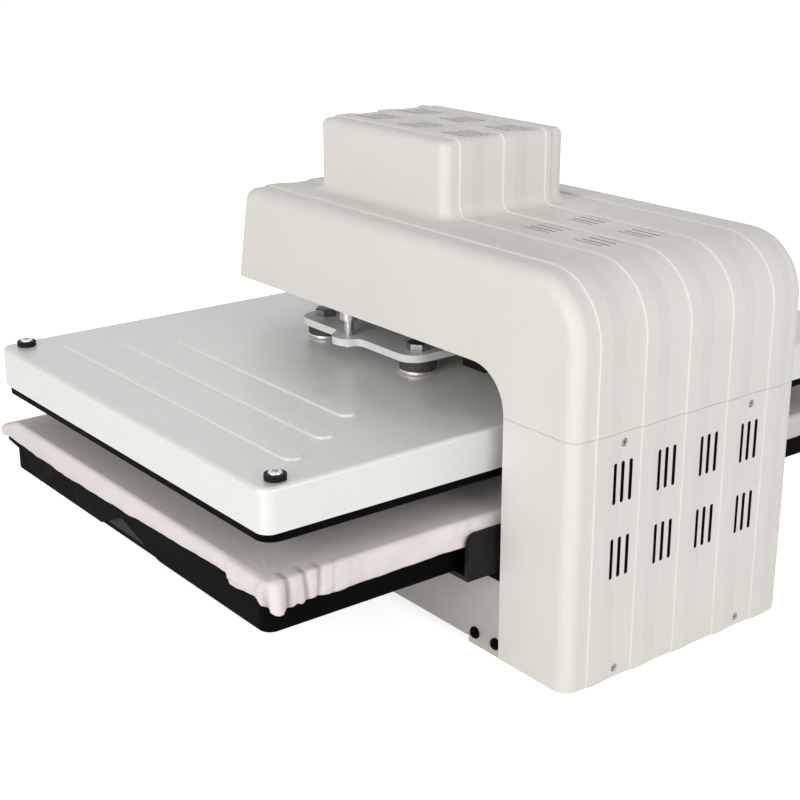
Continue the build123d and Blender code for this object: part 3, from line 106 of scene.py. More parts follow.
floor_half = 6
floor_mesh = bpy.data.meshes.new("floor")
floor_mesh.from_pydata(
    [
        (-floor_half, -floor_half, 0), (floor_half, -floor_half, 0),
        (floor_half, floor_half, 0), (-floor_half, floor_half, 0),
    ],
    [], [(0, 1, 2, 3)],
)
floor = bpy.data.objects.new("floor", floor_mesh)
bpy.context.scene.collection.objects.link(floor)
floor_finish = bpy.data.materials.new("floor_white")
floor_finish.use_nodes = True
floor_nodes = floor_finish.node_tree.nodes
floor_links = floor_finish.node_tree.links
floor_shader = floor_nodes["Principled BSDF"]
floor_shader.inputs["Base Color"].default_value = (0.84, 0.84, 0.835, 1.0)
floor_shader.inputs["Roughness"].default_value = 0.9
floor_shader.inputs["Specular IOR Level"].default_value = 0.1
floor_glow = floor_nodes.new("ShaderNodeEmission")
floor_glow.inputs["Color"].default_value = (1.0, 1.0, 1.0, 1.0)
floor_amount = floor_nodes.new("ShaderNodeMath")
floor_amount.operation = "MULTIPLY"
floor_amount.inputs[1].default_value = 0.80
floor_links.new(background_ray(floor_finish.node_tree), floor_amount.inputs[0])
floor_links.new(floor_amount.outputs[0], floor_glow.inputs["Strength"])
floor_sum = floor_nodes.new("ShaderNodeAddShader")
floor_links.new(floor_shader.outputs[0], floor_sum.inputs[0])
floor_links.new(floor_glow.outputs[0], floor_sum.inputs[1])
floor_links.new(floor_sum.outputs[0], floor_nodes["Material Output"].inputs["Surface"])
floor_mesh.materials.append(floor_finish)


def soft_lamp(name, place, aim, size, power, colour):
    """A large square lamp at a place, turned to what it lights."""
    lamp = bpy.data.lights.new(name, "AREA")
    lamp.shape = "SQUARE"
    lamp.size = size
    lamp.energy = power
    lamp.color = colour
    holder = bpy.data.objects.new(name, lamp)
    holder.location = place
    holder.rotation_euler = (Vector(aim) - Vector(place)).to_track_quat("-Z", "Y").to_euler()
    bpy.context.scene.collection.objects.link(holder)


soft_lamp(
    "lamp_left", place=(0.9, -2.4, 0.72), aim=(0.05, 0.0, 0.12), size=1.8, power=39.5,
    colour=(1.0, 0.975, 0.95),
)
soft_lamp(
    "lamp_rear", place=(2.6, 0.3, 0.95), aim=(0.0, 0.0, 0.15), size=1.6, power=20.5,
    colour=(1.0, 0.98, 0.965),
)

# Casing: two thin mouldings in off-white ABS, sprayed with a fine-textured satin lacquer.
# They are screwed to bars on the steel frame at the rear and meet at a narrow joint.


def new_finish(name, colour, rough, metal=0.0):
    """A Principled material with a colour, roughness and metal share of its own."""
    finish = bpy.data.materials.new(name)
    finish.use_nodes = True
    shader = finish.node_tree.nodes["Principled BSDF"]
    shader.inputs["Base Color"].default_value = (*colour, 1.0)
    shader.inputs["Roughness"].default_value = rough
    shader.inputs["Metallic"].default_value = metal
    return finish


def speckle(finish, scale, detail=2.0, stretch=(1.0, 1.0, 1.0), kind="ShaderNodeTexNoise"):
    """A pattern of the object's own space. Scale is in repeats per metre."""
    tree = finish.node_tree
    place = tree.nodes.new("ShaderNodeTexCoord")
    mapping = tree.nodes.new("ShaderNodeMapping")
    mapping.inputs["Scale"].default_value = stretch
    pattern = tree.nodes.new(kind)
    pattern.inputs["Scale"].default_value = scale
    if "Detail" in pattern.inputs:
        pattern.inputs["Detail"].default_value = detail
    tree.links.new(place.outputs["Object"], mapping.inputs["Vector"])
    tree.links.new(mapping.outputs["Vector"], pattern.inputs["Vector"])
    return pattern.outputs[0] if kind == "ShaderNodeTexNoise" else pattern.outputs["Distance"]


def blotch(finish, pattern, dark, light, low=0.3, high=0.7):
    """The colour wanders between two tones with a pattern."""
    tree = finish.node_tree
    ramp = tree.nodes.new("ShaderNodeValToRGB")
    ramp.color_ramp.elements[0].position = low
    ramp.color_ramp.elements[0].color = (*dark, 1.0)
    ramp.color_ramp.elements[1].position = high
    ramp.color_ramp.elements[1].color = (*light, 1.0)
    tree.links.new(pattern, ramp.inputs[0])
    tree.links.new(ramp.outputs[0], tree.nodes["Principled BSDF"].inputs["Base Color"])


def darken(finish, mask, colour):
    """The colour, as it is so far, goes over to another one where a mask is 1."""
    tree = finish.node_tree
    shader = tree.nodes["Principled BSDF"]
    shade = tree.nodes.new("ShaderNodeMix")
    shade.data_type = "RGBA"
    shade.inputs["B"].default_value = (*colour, 1.0)
    tree.links.new(mask, shade.inputs["Factor"])
    tree.links.new(shader.inputs["Base Color"].links[0].from_socket, shade.inputs["A"])
    tree.links.new(shade.outputs["Result"], shader.inputs["Base Color"])


def specular(finish, level):
    """How much the bare surface mirrors. 0.5 is a usual plastic or lacquer."""
    finish.node_tree.nodes["Principled BSDF"].inputs["Specular IOR Level"].default_value = level


def uneven(finish, pattern, low, high):
    """The roughness wanders between two values with a pattern."""
    tree = finish.node_tree
    span = tree.nodes.new("ShaderNodeMapRange")
    span.inputs["From Min"].default_value = 0.3
    span.inputs["From Max"].default_value = 0.7
    span.inputs["To Min"].default_value = low
    span.inputs["To Max"].default_value = high
    tree.links.new(pattern, span.inputs["Value"])
    tree.links.new(span.outputs[0], tree.nodes["Principled BSDF"].inputs["Roughness"])


def relief(finish, pattern, depth, strength=1.0):
    """A bump of that depth in metres, over any bump the finish already has."""
    tree = finish.node_tree
    shader = tree.nodes["Principled BSDF"]
    bump = tree.nodes.new("ShaderNodeBump")
    bump.inputs["Distance"].default_value = depth
    bump.inputs["Strength"].default_value = strength
    tree.links.new(pattern, bump.inputs["Height"])
    if shader.inputs["Normal"].is_linked:
        tree.links.new(shader.inputs["Normal"].links[0].from_socket, bump.inputs["Normal"])
    tree.links.new(bump.outputs[0], shader.inputs["Normal"])


def dress(finish, *names):
    """Gives CAD nodes a finish through their objects' material slots."""
    for name in names:
        for slot in nodes[name].material_slots:
            slot.material = finish


casing_finish = new_finish("casing_lacquer", (0.80, 0.785, 0.755), 0.42)
blotch(casing_finish, speckle(casing_finish, 9.0), (0.785, 0.77, 0.74), (0.81, 0.797, 0.768))
uneven(casing_finish, speckle(casing_finish, 38.0, 4.0), 0.37, 0.47)
specular(casing_finish, 0.28)
relief(casing_finish, speckle(casing_finish, 1500.0, 1.0), 0.00012, 0.35)
relief(casing_finish, speckle(casing_finish, 11.0), 0.0012, 0.10)

# Painted shade: the walls of the vent slots are painted near-black for the unlit inside of the casing.
# The vents run between ribs in the rear face, in the beam's top and in the box's top.
upper_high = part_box("casing_upper")[1]
vent_rib_first = -0.113 + 0.0208
vent_rib_pitch = 0.04435
vent_rib_start, vent_rib_end = 0.006, 0.003
vent_rear_x = upper_high.x - 0.008
vent_rear_y = (-0.080, 0.084)
vent_rear_z = (0.070, 0.178)
vent_beam_x = (0.09, 0.20)
vent_beam_z = 0.3068 - 0.0045
vent_beam_depth = 0.004
vent_box_x = (-0.106, 0.046)
vent_box_z = upper_high.z - 0.0045
vent_top_y = (-0.044, 0.044)
vent_top_shade_share = 0.45
vent_facing = 0.5


def painted_vent_shade(finish):
    """1 on the vent slots' walls, which get painted shade for the unlit inside: none of the outer faces.
    """
    tree = finish.node_tree
    place = tree.nodes.new("ShaderNodeTexCoord")
    spot = tree.nodes.new("ShaderNodeSeparateXYZ")
    facing = tree.nodes.new("ShaderNodeSeparateXYZ")
    tree.links.new(place.outputs["Object"], spot.inputs[0])
    tree.links.new(place.outputs["Normal"], facing.inputs[0])
    x, y, z = (spot.outputs[axis] for axis in "XYZ")

    def step(kind, a, b):
        node = tree.nodes.new("ShaderNodeMath")
        node.operation = kind
        for socket, value in zip(node.inputs, (a, b)):
            if isinstance(value, float):
                socket.default_value = value
            else:
                tree.links.new(value, socket)
        return node.outputs[0]

    def between(value, low, high):
        return step("MULTIPLY", step("GREATER_THAN", value, low), step("LESS_THAN", value, high))

    def every(first, *others):
        for other in others:
            first = step("MULTIPLY", first, other)
        return first

    rib_run = step("FLOORED_MODULO", step("SUBTRACT", y, vent_rib_first), vent_rib_pitch)
    off_rib = between(rib_run, vent_rib_start, vent_rib_pitch - vent_rib_end)
    rear = every(
        step("GREATER_THAN", x, vent_rear_x), step("LESS_THAN", facing.outputs["X"], vent_facing),
        between(z, *vent_rear_z), between(y, *vent_rear_y),
    )
    beam = every(between(z, vent_beam_z, vent_beam_z + vent_beam_depth), between(x, *vent_beam_x))
    box = every(step("GREATER_THAN", z, vent_box_z), between(x, *vent_box_x))
    tops = every(
        step("MAXIMUM", beam, box), step("LESS_THAN", facing.outputs["Z"], vent_facing),
        between(y, *vent_top_y), vent_top_shade_share,
    )
    return every(step("MAXIMUM", rear, tops), off_rib)


# Painted shade: the vent walls go near-black brown; the slots in the tops take a lighter share of it.
darken(casing_finish, painted_vent_shade(casing_finish), (0.012, 0.009, 0.007))
dress(casing_finish, "casing_upper", "casing_lower")

# Fasteners: cross-recess screws in the casing, the platen's cover and the terminals, the discs
# under the buffers, and the spider's M10 hex bolts. They are steel with a zinc plating, which is
# bright on some and dark on others.
zinc_finish = new_finish("zinc_plate", (0.70, 0.705, 0.70), 0.30, 1.0)
blotch(zinc_finish, speckle(zinc_finish, 420.0, 3.0), (0.62, 0.63, 0.64), (0.74, 0.735, 0.715))
uneven(zinc_finish, speckle(zinc_finish, 900.0, 3.0), 0.24, 0.40)
relief(zinc_finish, speckle(zinc_finish, 2600.0, 2.0), 0.00005, 0.3)
dress(zinc_finish, "buffer_discs", "platen_screws", "terminal_screws")

dark_zinc_finish = new_finish("dark_zinc", (0.30, 0.31, 0.32), 0.34, 1.0)
blotch(dark_zinc_finish, speckle(dark_zinc_finish, 380.0, 3.0), (0.24, 0.25, 0.265), (0.36, 0.365, 0.37))
uneven(dark_zinc_finish, speckle(dark_zinc_finish, 800.0, 3.0), 0.26, 0.42)
relief(dark_zinc_finish, speckle(dark_zinc_finish, 2400.0, 2.0), 0.00005, 0.3)
dress(dark_zinc_finish, "casing_screws", "spider_bolts")

# Frame: two C-shaped plates of 8 mm steel in grey primer, tied by spacers, base ties and bars.
# They carry the press force from the head plate round to the arm.
primer_finish = new_finish("grey_primer", (0.17, 0.18, 0.19), 0.62)
blotch(primer_finish, speckle(primer_finish, 30.0, 4.0), (0.145, 0.155, 0.165), (0.19, 0.20, 0.21))
uneven(primer_finish, speckle(primer_finish, 90.0, 3.0), 0.52, 0.72)
relief(primer_finish, speckle(primer_finish, 800.0, 2.0), 0.0001, 0.4)
dress(
    primer_finish, "frame_plate_left", "frame_plate_right", "frame_ties", "frame_spacers", "rear_bars",
    "head_plate",
)

# Black sheet metal: the beam's underside, the bed rails, angle and strip, the rim and the tray.
# It is folded mild steel with a satin black powder coat, which has a fine orange-peel skin.
powder_finish = new_finish("black_powder_coat", (0.0022, 0.0021, 0.002), 0.55)
specular(powder_finish, 0.02)
blotch(
    powder_finish, speckle(powder_finish, 25.0, 3.0), (0.0018, 0.0017, 0.0016), (0.0027, 0.0026, 0.0025)
)
uneven(powder_finish, speckle(powder_finish, 60.0, 3.0), 0.50, 0.62)
relief(powder_finish, speckle(powder_finish, 700.0, 2.0), 0.00012, 0.35)
dress(powder_finish, "beam_underside", "platen_rim", "bed_rails", "front_strip", "tray", "arm_screws")

angle_finish = new_finish("charcoal_powder_coat", (0.010, 0.0105, 0.011), 0.5)
specular(angle_finish, 0.12)
blotch(angle_finish, speckle(angle_finish, 40.0, 3.0), (0.008, 0.0085, 0.009), (0.013, 0.0135, 0.014))
uneven(angle_finish, speckle(angle_finish, 80.0, 3.0), 0.44, 0.56)
relief(angle_finish, speckle(angle_finish, 900.0, 2.0), 0.0001, 0.35)
dress(angle_finish, "rear_angle")

# Drive: a gearmotor on the head plate turns a trapezoidal screw in a bronze-coloured nut.
# The castings are bare alloy, the can is painted black, and screw, bushes and rods are ground steel.
alloy_finish = new_finish("cast_alloy", (0.56, 0.56, 0.57), 0.46, 1.0)
blotch(alloy_finish, speckle(alloy_finish, 160.0, 4.0), (0.50, 0.50, 0.51), (0.60, 0.60, 0.61))
uneven(alloy_finish, speckle(alloy_finish, 300.0, 3.0), 0.40, 0.58)
relief(alloy_finish, speckle(alloy_finish, 1100.0, 3.0), 0.00015, 0.5)
dress(alloy_finish, "bearing_housing", "gearbox", "heater_relay")

motor_finish = new_finish("motor_black", (0.03, 0.03, 0.033), 0.38)
uneven(motor_finish, speckle(motor_finish, 120.0, 3.0), 0.32, 0.46)
relief(motor_finish, speckle(motor_finish, 900.0, 2.0), 0.0001, 0.3)
dress(motor_finish, "motor_can")

steel_finish = new_finish("ground_steel", (0.62, 0.61, 0.60), 0.24, 1.0)
blotch(steel_finish, speckle(steel_finish, 300.0, 3.0), (0.57, 0.565, 0.56), (0.66, 0.655, 0.65))
uneven(steel_finish, speckle(steel_finish, 500.0, 2.0, (1.0, 1.0, 14.0)), 0.18, 0.32)
relief(steel_finish, speckle(steel_finish, 900.0, 2.0, (1.0, 1.0, 16.0)), 0.00004, 0.35)
dress(steel_finish, "guide_bushes", "drive_screw", "guide_rods", "ball_nut")

# Spider: a laser-cut 6 mm plate, powder coated white, which carries the platen on four buffers.
# The buffers are dark brown rubber between the plate and a bright disc, held by M10 bolts.
spider_finish = new_finish("white_powder_coat", (0.80, 0.81, 0.81), 0.38)
blotch(spider_finish, speckle(spider_finish, 50.0, 3.0), (0.77, 0.78, 0.785), (0.82, 0.83, 0.83))
uneven(spider_finish, speckle(spider_finish, 110.0, 3.0), 0.32, 0.45)
relief(spider_finish, speckle(spider_finish, 750.0, 2.0), 0.00012, 0.35)
dress(spider_finish, "spider_plate")

buffer_finish = new_finish("brown_rubber", (0.050, 0.037, 0.032), 0.6)
blotch(buffer_finish, speckle(buffer_finish, 220.0, 4.0), (0.040, 0.030, 0.027), (0.066, 0.050, 0.044))
uneven(buffer_finish, speckle(buffer_finish, 400.0, 3.0), 0.5, 0.7)
relief(buffer_finish, speckle(buffer_finish, 1300.0, 3.0), 0.00015, 0.5)
dress(buffer_finish, "rubber_buffers")

# Upper platen: a pressed steel cover in satin silver-grey enamel, held by four pan screws
# on black rubber washers. Inside are the cast plate with its dark non-stick coat, its elements
# and a glass-wool mat.
cover_finish = new_finish("silver_grey_enamel", (0.75, 0.752, 0.744), 0.36, 0.30)
blotch(
    cover_finish, speckle(cover_finish, 1250.0, 2.0), (0.705, 0.71, 0.70), (0.795, 0.80, 0.79), 0.25, 0.75
)
uneven(cover_finish, speckle(cover_finish, 70.0, 4.0), 0.32, 0.42)
relief(cover_finish, speckle(cover_finish, 1300.0, 2.0), 0.00010, 0.35)
relief(cover_finish, speckle(cover_finish, 7.0), 0.0015, 0.06)
dress(cover_finish, "platen_cover")

washer_finish = new_finish("black_rubber", (0.006, 0.006, 0.006), 0.55)
specular(washer_finish, 0.15)
uneven(washer_finish, speckle(washer_finish, 500.0, 3.0), 0.45, 0.65)
relief(washer_finish, speckle(washer_finish, 1500.0, 3.0), 0.00012, 0.5)
dress(washer_finish, "platen_washers", "front_feet")

heater_finish = new_finish("non_stick_coating", (0.030, 0.029, 0.028), 0.42)
specular(heater_finish, 0.3)
blotch(heater_finish, speckle(heater_finish, 400.0, 4.0), (0.022, 0.021, 0.020), (0.040, 0.038, 0.036))
uneven(heater_finish, speckle(heater_finish, 60.0, 3.0), 0.36, 0.50)
relief(heater_finish, speckle(heater_finish, 900.0, 2.0), 0.00008, 0.4)
dress(heater_finish, "heater_plate")

element_finish = new_finish("heat_stained_tube", (0.33, 0.30, 0.27), 0.42, 1.0)
blotch(element_finish, speckle(element_finish, 40.0, 4.0), (0.24, 0.22, 0.24), (0.40, 0.34, 0.27))
uneven(element_finish, speckle(element_finish, 200.0, 3.0), 0.34, 0.52)
dress(element_finish, "heating_elements")

# Lower arm: a folded sheet housing in light grey enamel, with black button-head screws.
# The beige strips under it run into the column's foot.
arm_finish = new_finish("light_grey_enamel", (0.50, 0.48, 0.46), 0.45)
blotch(arm_finish, speckle(arm_finish, 12.0, 3.0), (0.48, 0.46, 0.44), (0.52, 0.50, 0.48))
uneven(arm_finish, speckle(arm_finish, 80.0, 3.0), 0.40, 0.52)
relief(arm_finish, speckle(arm_finish, 1000.0, 2.0), 0.0001, 0.35)
dress(arm_finish, "arm_housing")

strip_finish = new_finish("beige_strip", (0.62, 0.58, 0.52), 0.6)
blotch(strip_finish, speckle(strip_finish, 60.0, 3.0), (0.58, 0.54, 0.48), (0.66, 0.62, 0.56))
relief(strip_finish, speckle(strip_finish, 900.0, 2.0), 0.0001, 0.4)
dress(strip_finish, "foot_strips")

# Tray: the black pan is in the section on sheet metal. Behind its notches is a charcoal liner of
# the same dark finish as the stop button's collar, and on its floor lies a pressed fibre board.
liner_finish = new_finish("charcoal_liner", (0.030, 0.026, 0.024), 0.6)
specular(liner_finish, 0.10)
blotch(liner_finish, speckle(liner_finish, 120.0, 3.0), (0.026, 0.022, 0.020), (0.036, 0.031, 0.029))
relief(liner_finish, speckle(liner_finish, 900.0, 2.0), 0.0001, 0.4)
dress(liner_finish, "tray_liners", "estop_collar")

board_finish = new_finish("fibre_board", (0.42, 0.29, 0.17), 0.75)
blotch(board_finish, speckle(board_finish, 500.0, 5.0), (0.33, 0.22, 0.13), (0.50, 0.36, 0.22))
relief(board_finish, speckle(board_finish, 700.0, 4.0), 0.0002, 0.5)
dress(board_finish, "pad_board")

# Silicone sponge: the red-brown pad on the fibre board, cut from sheet, with edges that give a
# little. It is drawn as a closed slab on a fine grid, and the cotton cover lies on it.
slab_cells = (40, 60)
slab_steps = 6
slab_under_edge = 0.28
slab_wander_pitch = 22
slab_calm_cells = 4


def ripple(a, b, seed):
    """Smooth noise between -1 and 1 over a plane. Each seed gives another plane."""
    return noise.noise(Vector((a, b, seed)))


def slab_outline(low, size, inset):
    """A slab's outline in evenly spaced places, anticlockwise from its low corner."""
    count_x, count_y = slab_cells
    shares = [(i / count_x, 0.0) for i in range(count_x)]
    shares += [(1.0, i / count_y) for i in range(count_y)]
    shares += [(1 - i / count_x, 1.0) for i in range(count_x)]
    shares += [(0.0, 1 - i / count_y) for i in range(count_y)]
    return [
        (low.x + inset + u * (size.x - 2 * inset), low.y + inset + v * (size.y - 2 * inset))
        for u, v in shares
    ]


def outline_index(i, j):
    """Which place of the outline a corner of the grid on the slab's edge is."""
    count_x, count_y = slab_cells
    if j == 0 and i < count_x:
        return i
    if i == count_x and j < count_y:
        return count_x + j
    if j == count_y and i > 0:
        return 2 * count_x + count_y - i
    return (2 * count_x + 2 * count_y - j) % (2 * count_x + 2 * count_y)


def pillow(name, low, high, lift, shoulder, seed):
    """A soft slab on a fine grid: flat below, with a rounded shoulder and a top that wanders."""
    count_x, count_y = slab_cells
    size = high - low
    slab = bmesh.new()
    rings = []
    for level in range(slab_steps + 1):
        turn = level / slab_steps * math.pi
        rounding = size.z * slab_under_edge if level < slab_steps / 2 else shoulder
        height = low.z + size.z * (1 - math.cos(turn)) / 2
        outline = slab_outline(low, size, (1 - math.sin(turn)) * rounding)
        rings.append([slab.verts.new((x, y, height)) for x, y in outline])
    for below, above in zip(rings, rings[1:]):
        for i in range(len(below)):
            j = (i + 1) % len(below)
            slab.faces.new((below[i], below[j], above[j], above[i]))
    for ring, is_top in ((rings[0], False), (rings[-1], True)):
        first = ring[0].co.copy()
        last = ring[count_x + count_y].co.copy()
        corners = {}
        for i in range(count_x + 1):
            for j in range(count_y + 1):
                if i in (0, count_x) or j in (0, count_y):
                    corners[i, j] = ring[outline_index(i, j)]
                    continue
                x = first.x + (last.x - first.x) * i / count_x
                y = first.y + (last.y - first.y) * j / count_y
                wander = ripple(x * slab_wander_pitch, y * slab_wander_pitch, seed) if is_top else 0.0
                calm = min(1.0, min(i, count_x - i, j, count_y - j) / slab_calm_cells)
                corners[i, j] = slab.verts.new((x, y, first.z + lift * wander * calm))
        for i in range(count_x):
            for j in range(count_y):
                square = (corners[i, j], corners[i + 1, j], corners[i + 1, j + 1], corners[i, j + 1])
                slab.faces.new(square if is_top else square[::-1])
    bmesh.ops.recalc_face_normals(slab, faces=slab.faces)
    mesh = bpy.data.meshes.new(name)
    slab.to_mesh(mesh)
    slab.free()
    for face in mesh.polygons:
        face.use_smooth = True
    piece = bpy.data.objects.new(name, mesh)
    bpy.context.scene.collection.objects.link(piece)
    return piece


sponge_gap = Vector((0, 0, 0.0003))
sponge_finish = new_finish("silicone_sponge", (0.62, 0.30, 0.20), 0.68)
blotch(sponge_finish, speckle(sponge_finish, 90.0, 4.0), (0.56, 0.26, 0.17), (0.67, 0.34, 0.23))
relief(sponge_finish, speckle(sponge_finish, 900.0, 1.0, kind="ShaderNodeTexVoronoi"), 0.0003, 0.5)
pad_low, pad_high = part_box("silicone_pad")
sponge = pillow("silicone_sponge", pad_low, pad_high - sponge_gap, lift=0.0002, shoulder=0.0105, seed=3.0)
sponge.data.materials.append(sponge_finish)
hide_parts("silicone_pad")
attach(sponge, "drawer")

# Glass-wool mat: the pale yellow blanket between the heated plate and its cover, cut from a roll.
# It is a slab like the sponge, with a fluffier face that lies under the cover.
wool_gap = Vector((0, 0, 0.0008))
wool_finish = new_finish("glass_wool", (0.70, 0.64, 0.45), 0.9)
blotch(wool_finish, speckle(wool_finish, 120.0, 6.0), (0.60, 0.54, 0.36), (0.78, 0.73, 0.56))
relief(wool_finish, speckle(wool_finish, 600.0, 6.0, (1.0, 3.0, 1.0)), 0.0008, 0.8)
wool_low, wool_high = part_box("insulation_blanket")
wool = pillow("glass_wool_mat", wool_low, wool_high - wool_gap, lift=0.0007, shoulder=0.004, seed=8.0)
wool.data.materials.append(wool_finish)
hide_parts("insulation_blanket")
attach(wool, "head")

# Cotton cover: a loose bag of thin woven cotton, drawn over the pad and gathered at its corners.
# Its front edge slopes out over the tray's lip, and its hem hangs a little below the tray's rim.
cloth_low, cloth_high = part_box("pad_cover")
cloth_front = cloth_low.x - 0.0035
cloth_back = cloth_high.x + 0.0004
cloth_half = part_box("tray")[1].y + 0.0008
cloth_top = cloth_high.z
cloth_ceiling = cloth_top - 0.0002
cloth_sink = 0.0004
cloth_thickness = 0.0004
cloth_corner = 0.006
cloth_fold = 0.0026
cloth_start = 0.0015
lip_run = 0.0345
lip_fall = 0.0098
# The height of the hem at places along each side. Two sides blend round a corner.
hem_near_side = (
    (-0.258, 0.0995), (-0.234, 0.1003), (-0.218, 0.0999), (-0.198, 0.0991), (-0.142, 0.0981),
    (-0.089, 0.0988), (-0.039, 0.0998), (0.009, 0.1017), (0.053, 0.1031), (0.094, 0.1046),
    (0.1185, 0.1053), (0.1205, 0.0983), (0.128, 0.0981), (0.139, 0.0994), (0.152, 0.1010),
    (0.156, 0.0998), (0.160, 0.1020), (0.171, 0.0975),
)
hem_far_side = (
    (-0.252, 0.0972), (-0.215, 0.0990), (-0.04, 0.0998), (0.092, 0.1030), (0.108, 0.0975),
    (0.19, 0.0968),
)
hem_back = (
    (-0.3070, 0.0975), (-0.294, 0.0950), (-0.2905, 0.0960), (-0.2865, 0.0980), (-0.2825, 0.0962),
    (-0.273, 0.0977), (-0.258, 0.0962), (-0.233, 0.0965), (-0.198, 0.0972), (-0.162, 0.0977),
    (-0.140, 0.0976), (-0.113, 0.0976), (0.0, 0.0974), (0.113, 0.0976), (0.262, 0.0975),
    (0.3070, 0.0965),
)
hem_front = 0.0978
hem_front_wander = 0.0010
hem_front_pitch = 20
hem_blend = 0.012
# Where the creases between the gathers are, and how deep. They lean a little on their way down.
creases_back = (
    (-0.2932, 1.0), (-0.2788, 0.85), (-0.2662, 0.8), (-0.2535, 0.45), (-0.2395, 0.25),
    (-0.218, 0.2), (-0.150, 0.3), (-0.136, 0.3), (0.140, 0.3), (0.246, 0.4), (0.262, 0.6),
    (0.277, 0.8), (0.292, 1.0),
)
creases_side = ((-0.240, 0.3), (0.158, 0.45), (0.1725, 0.6), (0.1865, 0.9))
crease_width = 0.0024
crease_lean = 0.16
crease_lean_turn = 900
fold_mean = 0.82
fold_wander = 0.36
fold_pitch = 58
fold_pitch_down = 35
# Each corner's place, how high the cloth is gathered there, and how far that reaches along the
# rear side and along the others. Between the corners the rear side has one tuck to each hand.
gathered_corners = (
    (cloth_back, -cloth_half, 0.0042, 0.036, 0.009),
    (cloth_back, cloth_half, 0.0038, 0.032, 0.009),
    (cloth_front, -cloth_half, 0.0012, 0.010, 0.010),
    (cloth_front, cloth_half, 0.0012, 0.010, 0.010),
)
tuck_place = 0.125
tuck_rise = 0.0012
tuck_reach = 0.018
back_rise = 0.0006
# The pinched ridge at a rear corner and the valley beside it: degrees round the corner, width.
ridge_turn, ridge_width = 12, 32
valley_turn, valley_width = 72, 16
valley_share = 0.8
ridge_push = 0.0036
ridge_hang = 0.0022
# Waves of the cover's top, the fan of wrinkles from its near corners, and the puckers at its edge.
wave_lift = 0.00035
wave_pitch_x, wave_pitch_y = 26, 19
calm_margin = 0.02
fan_lift = 0.0005
fan_reach = 0.07
fan_pitch = 9
fan_border = -0.04
pucker_share = 0.42
pucker_reach = 0.009
# The pucker depth at which the painted shade in a crease between folds is full.
pucker_full_shade = 0.0012
# The skirt: its rows, its full length, and how its folds deepen and crumple on the way down.
skirt_rows = 17
skirt_length = 0.022
skirt_slack = 0.3
skirt_bulge = 0.0008
skirt_folds_top, skirt_folds_more, skirt_folds_power = 0.35, 0.65, 0.7
skirt_crumples = ((42, 90, 7.0, 0.0011), (110, 170, 3.0, 0.0006))
skirt_crumple_out = 0.0006
skirt_crumple_rate = 2.5
skirt_wave = 0.0007
skirt_wave_pitch = 60
# The gather at which the painted shade in the skirt's creases is full.
skirt_full_shade = 0.0014
# On a short stretch of the near side the cloth above a line stands out a little over its hem,
# and painted shade darkens the cloth along the line.
ledge_from, ledge_to = 0.1195, 0.1585
ledge_height = 0.1030
ledge_line = 0.1028
ledge_out = 0.0014
ledge_line_shade = 0.7
straight = 0.99
# The grid's lines: their pitch in the middle and at the tucks, the least gap, and the reach and
# pitch of the closer lines at each end.
grid_pitch = 0.0042
grid_least = 0.0008
grid_tucks = (-0.143, 0.14)
grid_tuck_reach = 0.022
grid_tuck_pitch = 0.0022
grid_front, grid_back = (0.012, 0.0013), (0.034, 0.0009)
grid_near, grid_far = (0.066, 0.0009), (0.045, 0.0018)


def read_line(table, place):
    """Reads a value between the points of a measured line."""
    for (a, low), (b, high) in zip(table, table[1:]):
        if place <= b:
            share = min(max((place - a) / (b - a), 0.0), 1.0)
            return low + (high - low) * share
    return table[-1][1]


def bell(value, centre, width):
    """1 at the centre, and down to 0 some widths away."""
    return math.exp(-(((value - centre) / width) ** 2))


def cut_lines(low, high, low_fine, high_fine, spots=()):
    """Grid lines across the flat cloth: close together at the edges and at its gathers."""
    lines = [low]
    while lines[-1] < high - grid_least:
        here = lines[-1]
        step = grid_pitch
        for edge, (reach, pitch) in ((low, low_fine), (high, high_fine)):
            if abs(here - edge) < reach:
                step = min(step, pitch)
        if any(abs(here - spot) < grid_tuck_reach for spot in spots):
            step = min(step, grid_tuck_pitch)
        lines.append(min(here + step, high))
    if high - lines[-2] < grid_least:
        lines.pop(-2)
    return lines


def section(t):
    """How far in from the outer face, and how far down, a point of the flat cloth comes to lie."""
    if t >= cloth_fold:
        return t, 0.0
    turn = (cloth_fold - t) / cloth_fold
    if turn <= math.pi / 2:
        return cloth_fold * (1 - math.sin(turn)), cloth_fold * (1 - math.cos(turn))
    return 0.0, cloth_fold + cloth_fold * (turn - math.pi / 2)


def rest_height(x):
    """The cloth's height over the pad, and over the lip in front of it."""
    out = min(max((cloth_front + lip_run - x) / lip_run, 0.0), 1.0)
    return cloth_top - lip_fall * out * out * (3 - 2 * out)


def hem_height(x, y):
    """The height of the hem at a place on the outline."""
    front = hem_front + hem_front_wander * ripple(y * hem_front_pitch, 4.0, 0.0)
    sides = (
        (y + cloth_half, read_line(hem_near_side, x)),
        (cloth_half - y, read_line(hem_far_side, x)),
        (cloth_back - x, read_line(hem_back, y)),
        (x - cloth_front, front),
    )
    weights = [(max(0.0, 1 - away / hem_blend), height) for away, height in sides]
    total = sum(weight for weight, height in weights)
    return sum(weight * height for weight, height in weights) / total


def gathers(x, y):
    """How strongly the cloth is gathered at a place on the outline: amplitude in metres."""
    on_back = x > cloth_back - hem_blend
    amount = 0.0
    for corner_x, corner_y, rise, back_reach, side_reach in gathered_corners:
        away = math.hypot(x - corner_x, y - corner_y)
        amount += rise * math.exp(-away / (back_reach if on_back else side_reach))
    if on_back:
        amount += tuck_rise * math.exp(-abs(abs(y) - tuck_place) / tuck_reach) + back_rise
    return amount


def puff(x, y, on_end, drop):
    """1 on a full fold of the gathered cloth, down to 0 in the crease between two of them."""
    place = y if on_end else x
    swing = fold_mean + fold_wander * ripple(place * fold_pitch, drop * fold_pitch_down, 2.0)
    for spot, deep in creases_back if on_end else creases_side:
        lean = crease_lean * drop * math.sin(spot * crease_lean_turn)
        swing -= deep * bell(place - spot, lean, crease_width)
    return min(max(swing, 0.0), 1.0)


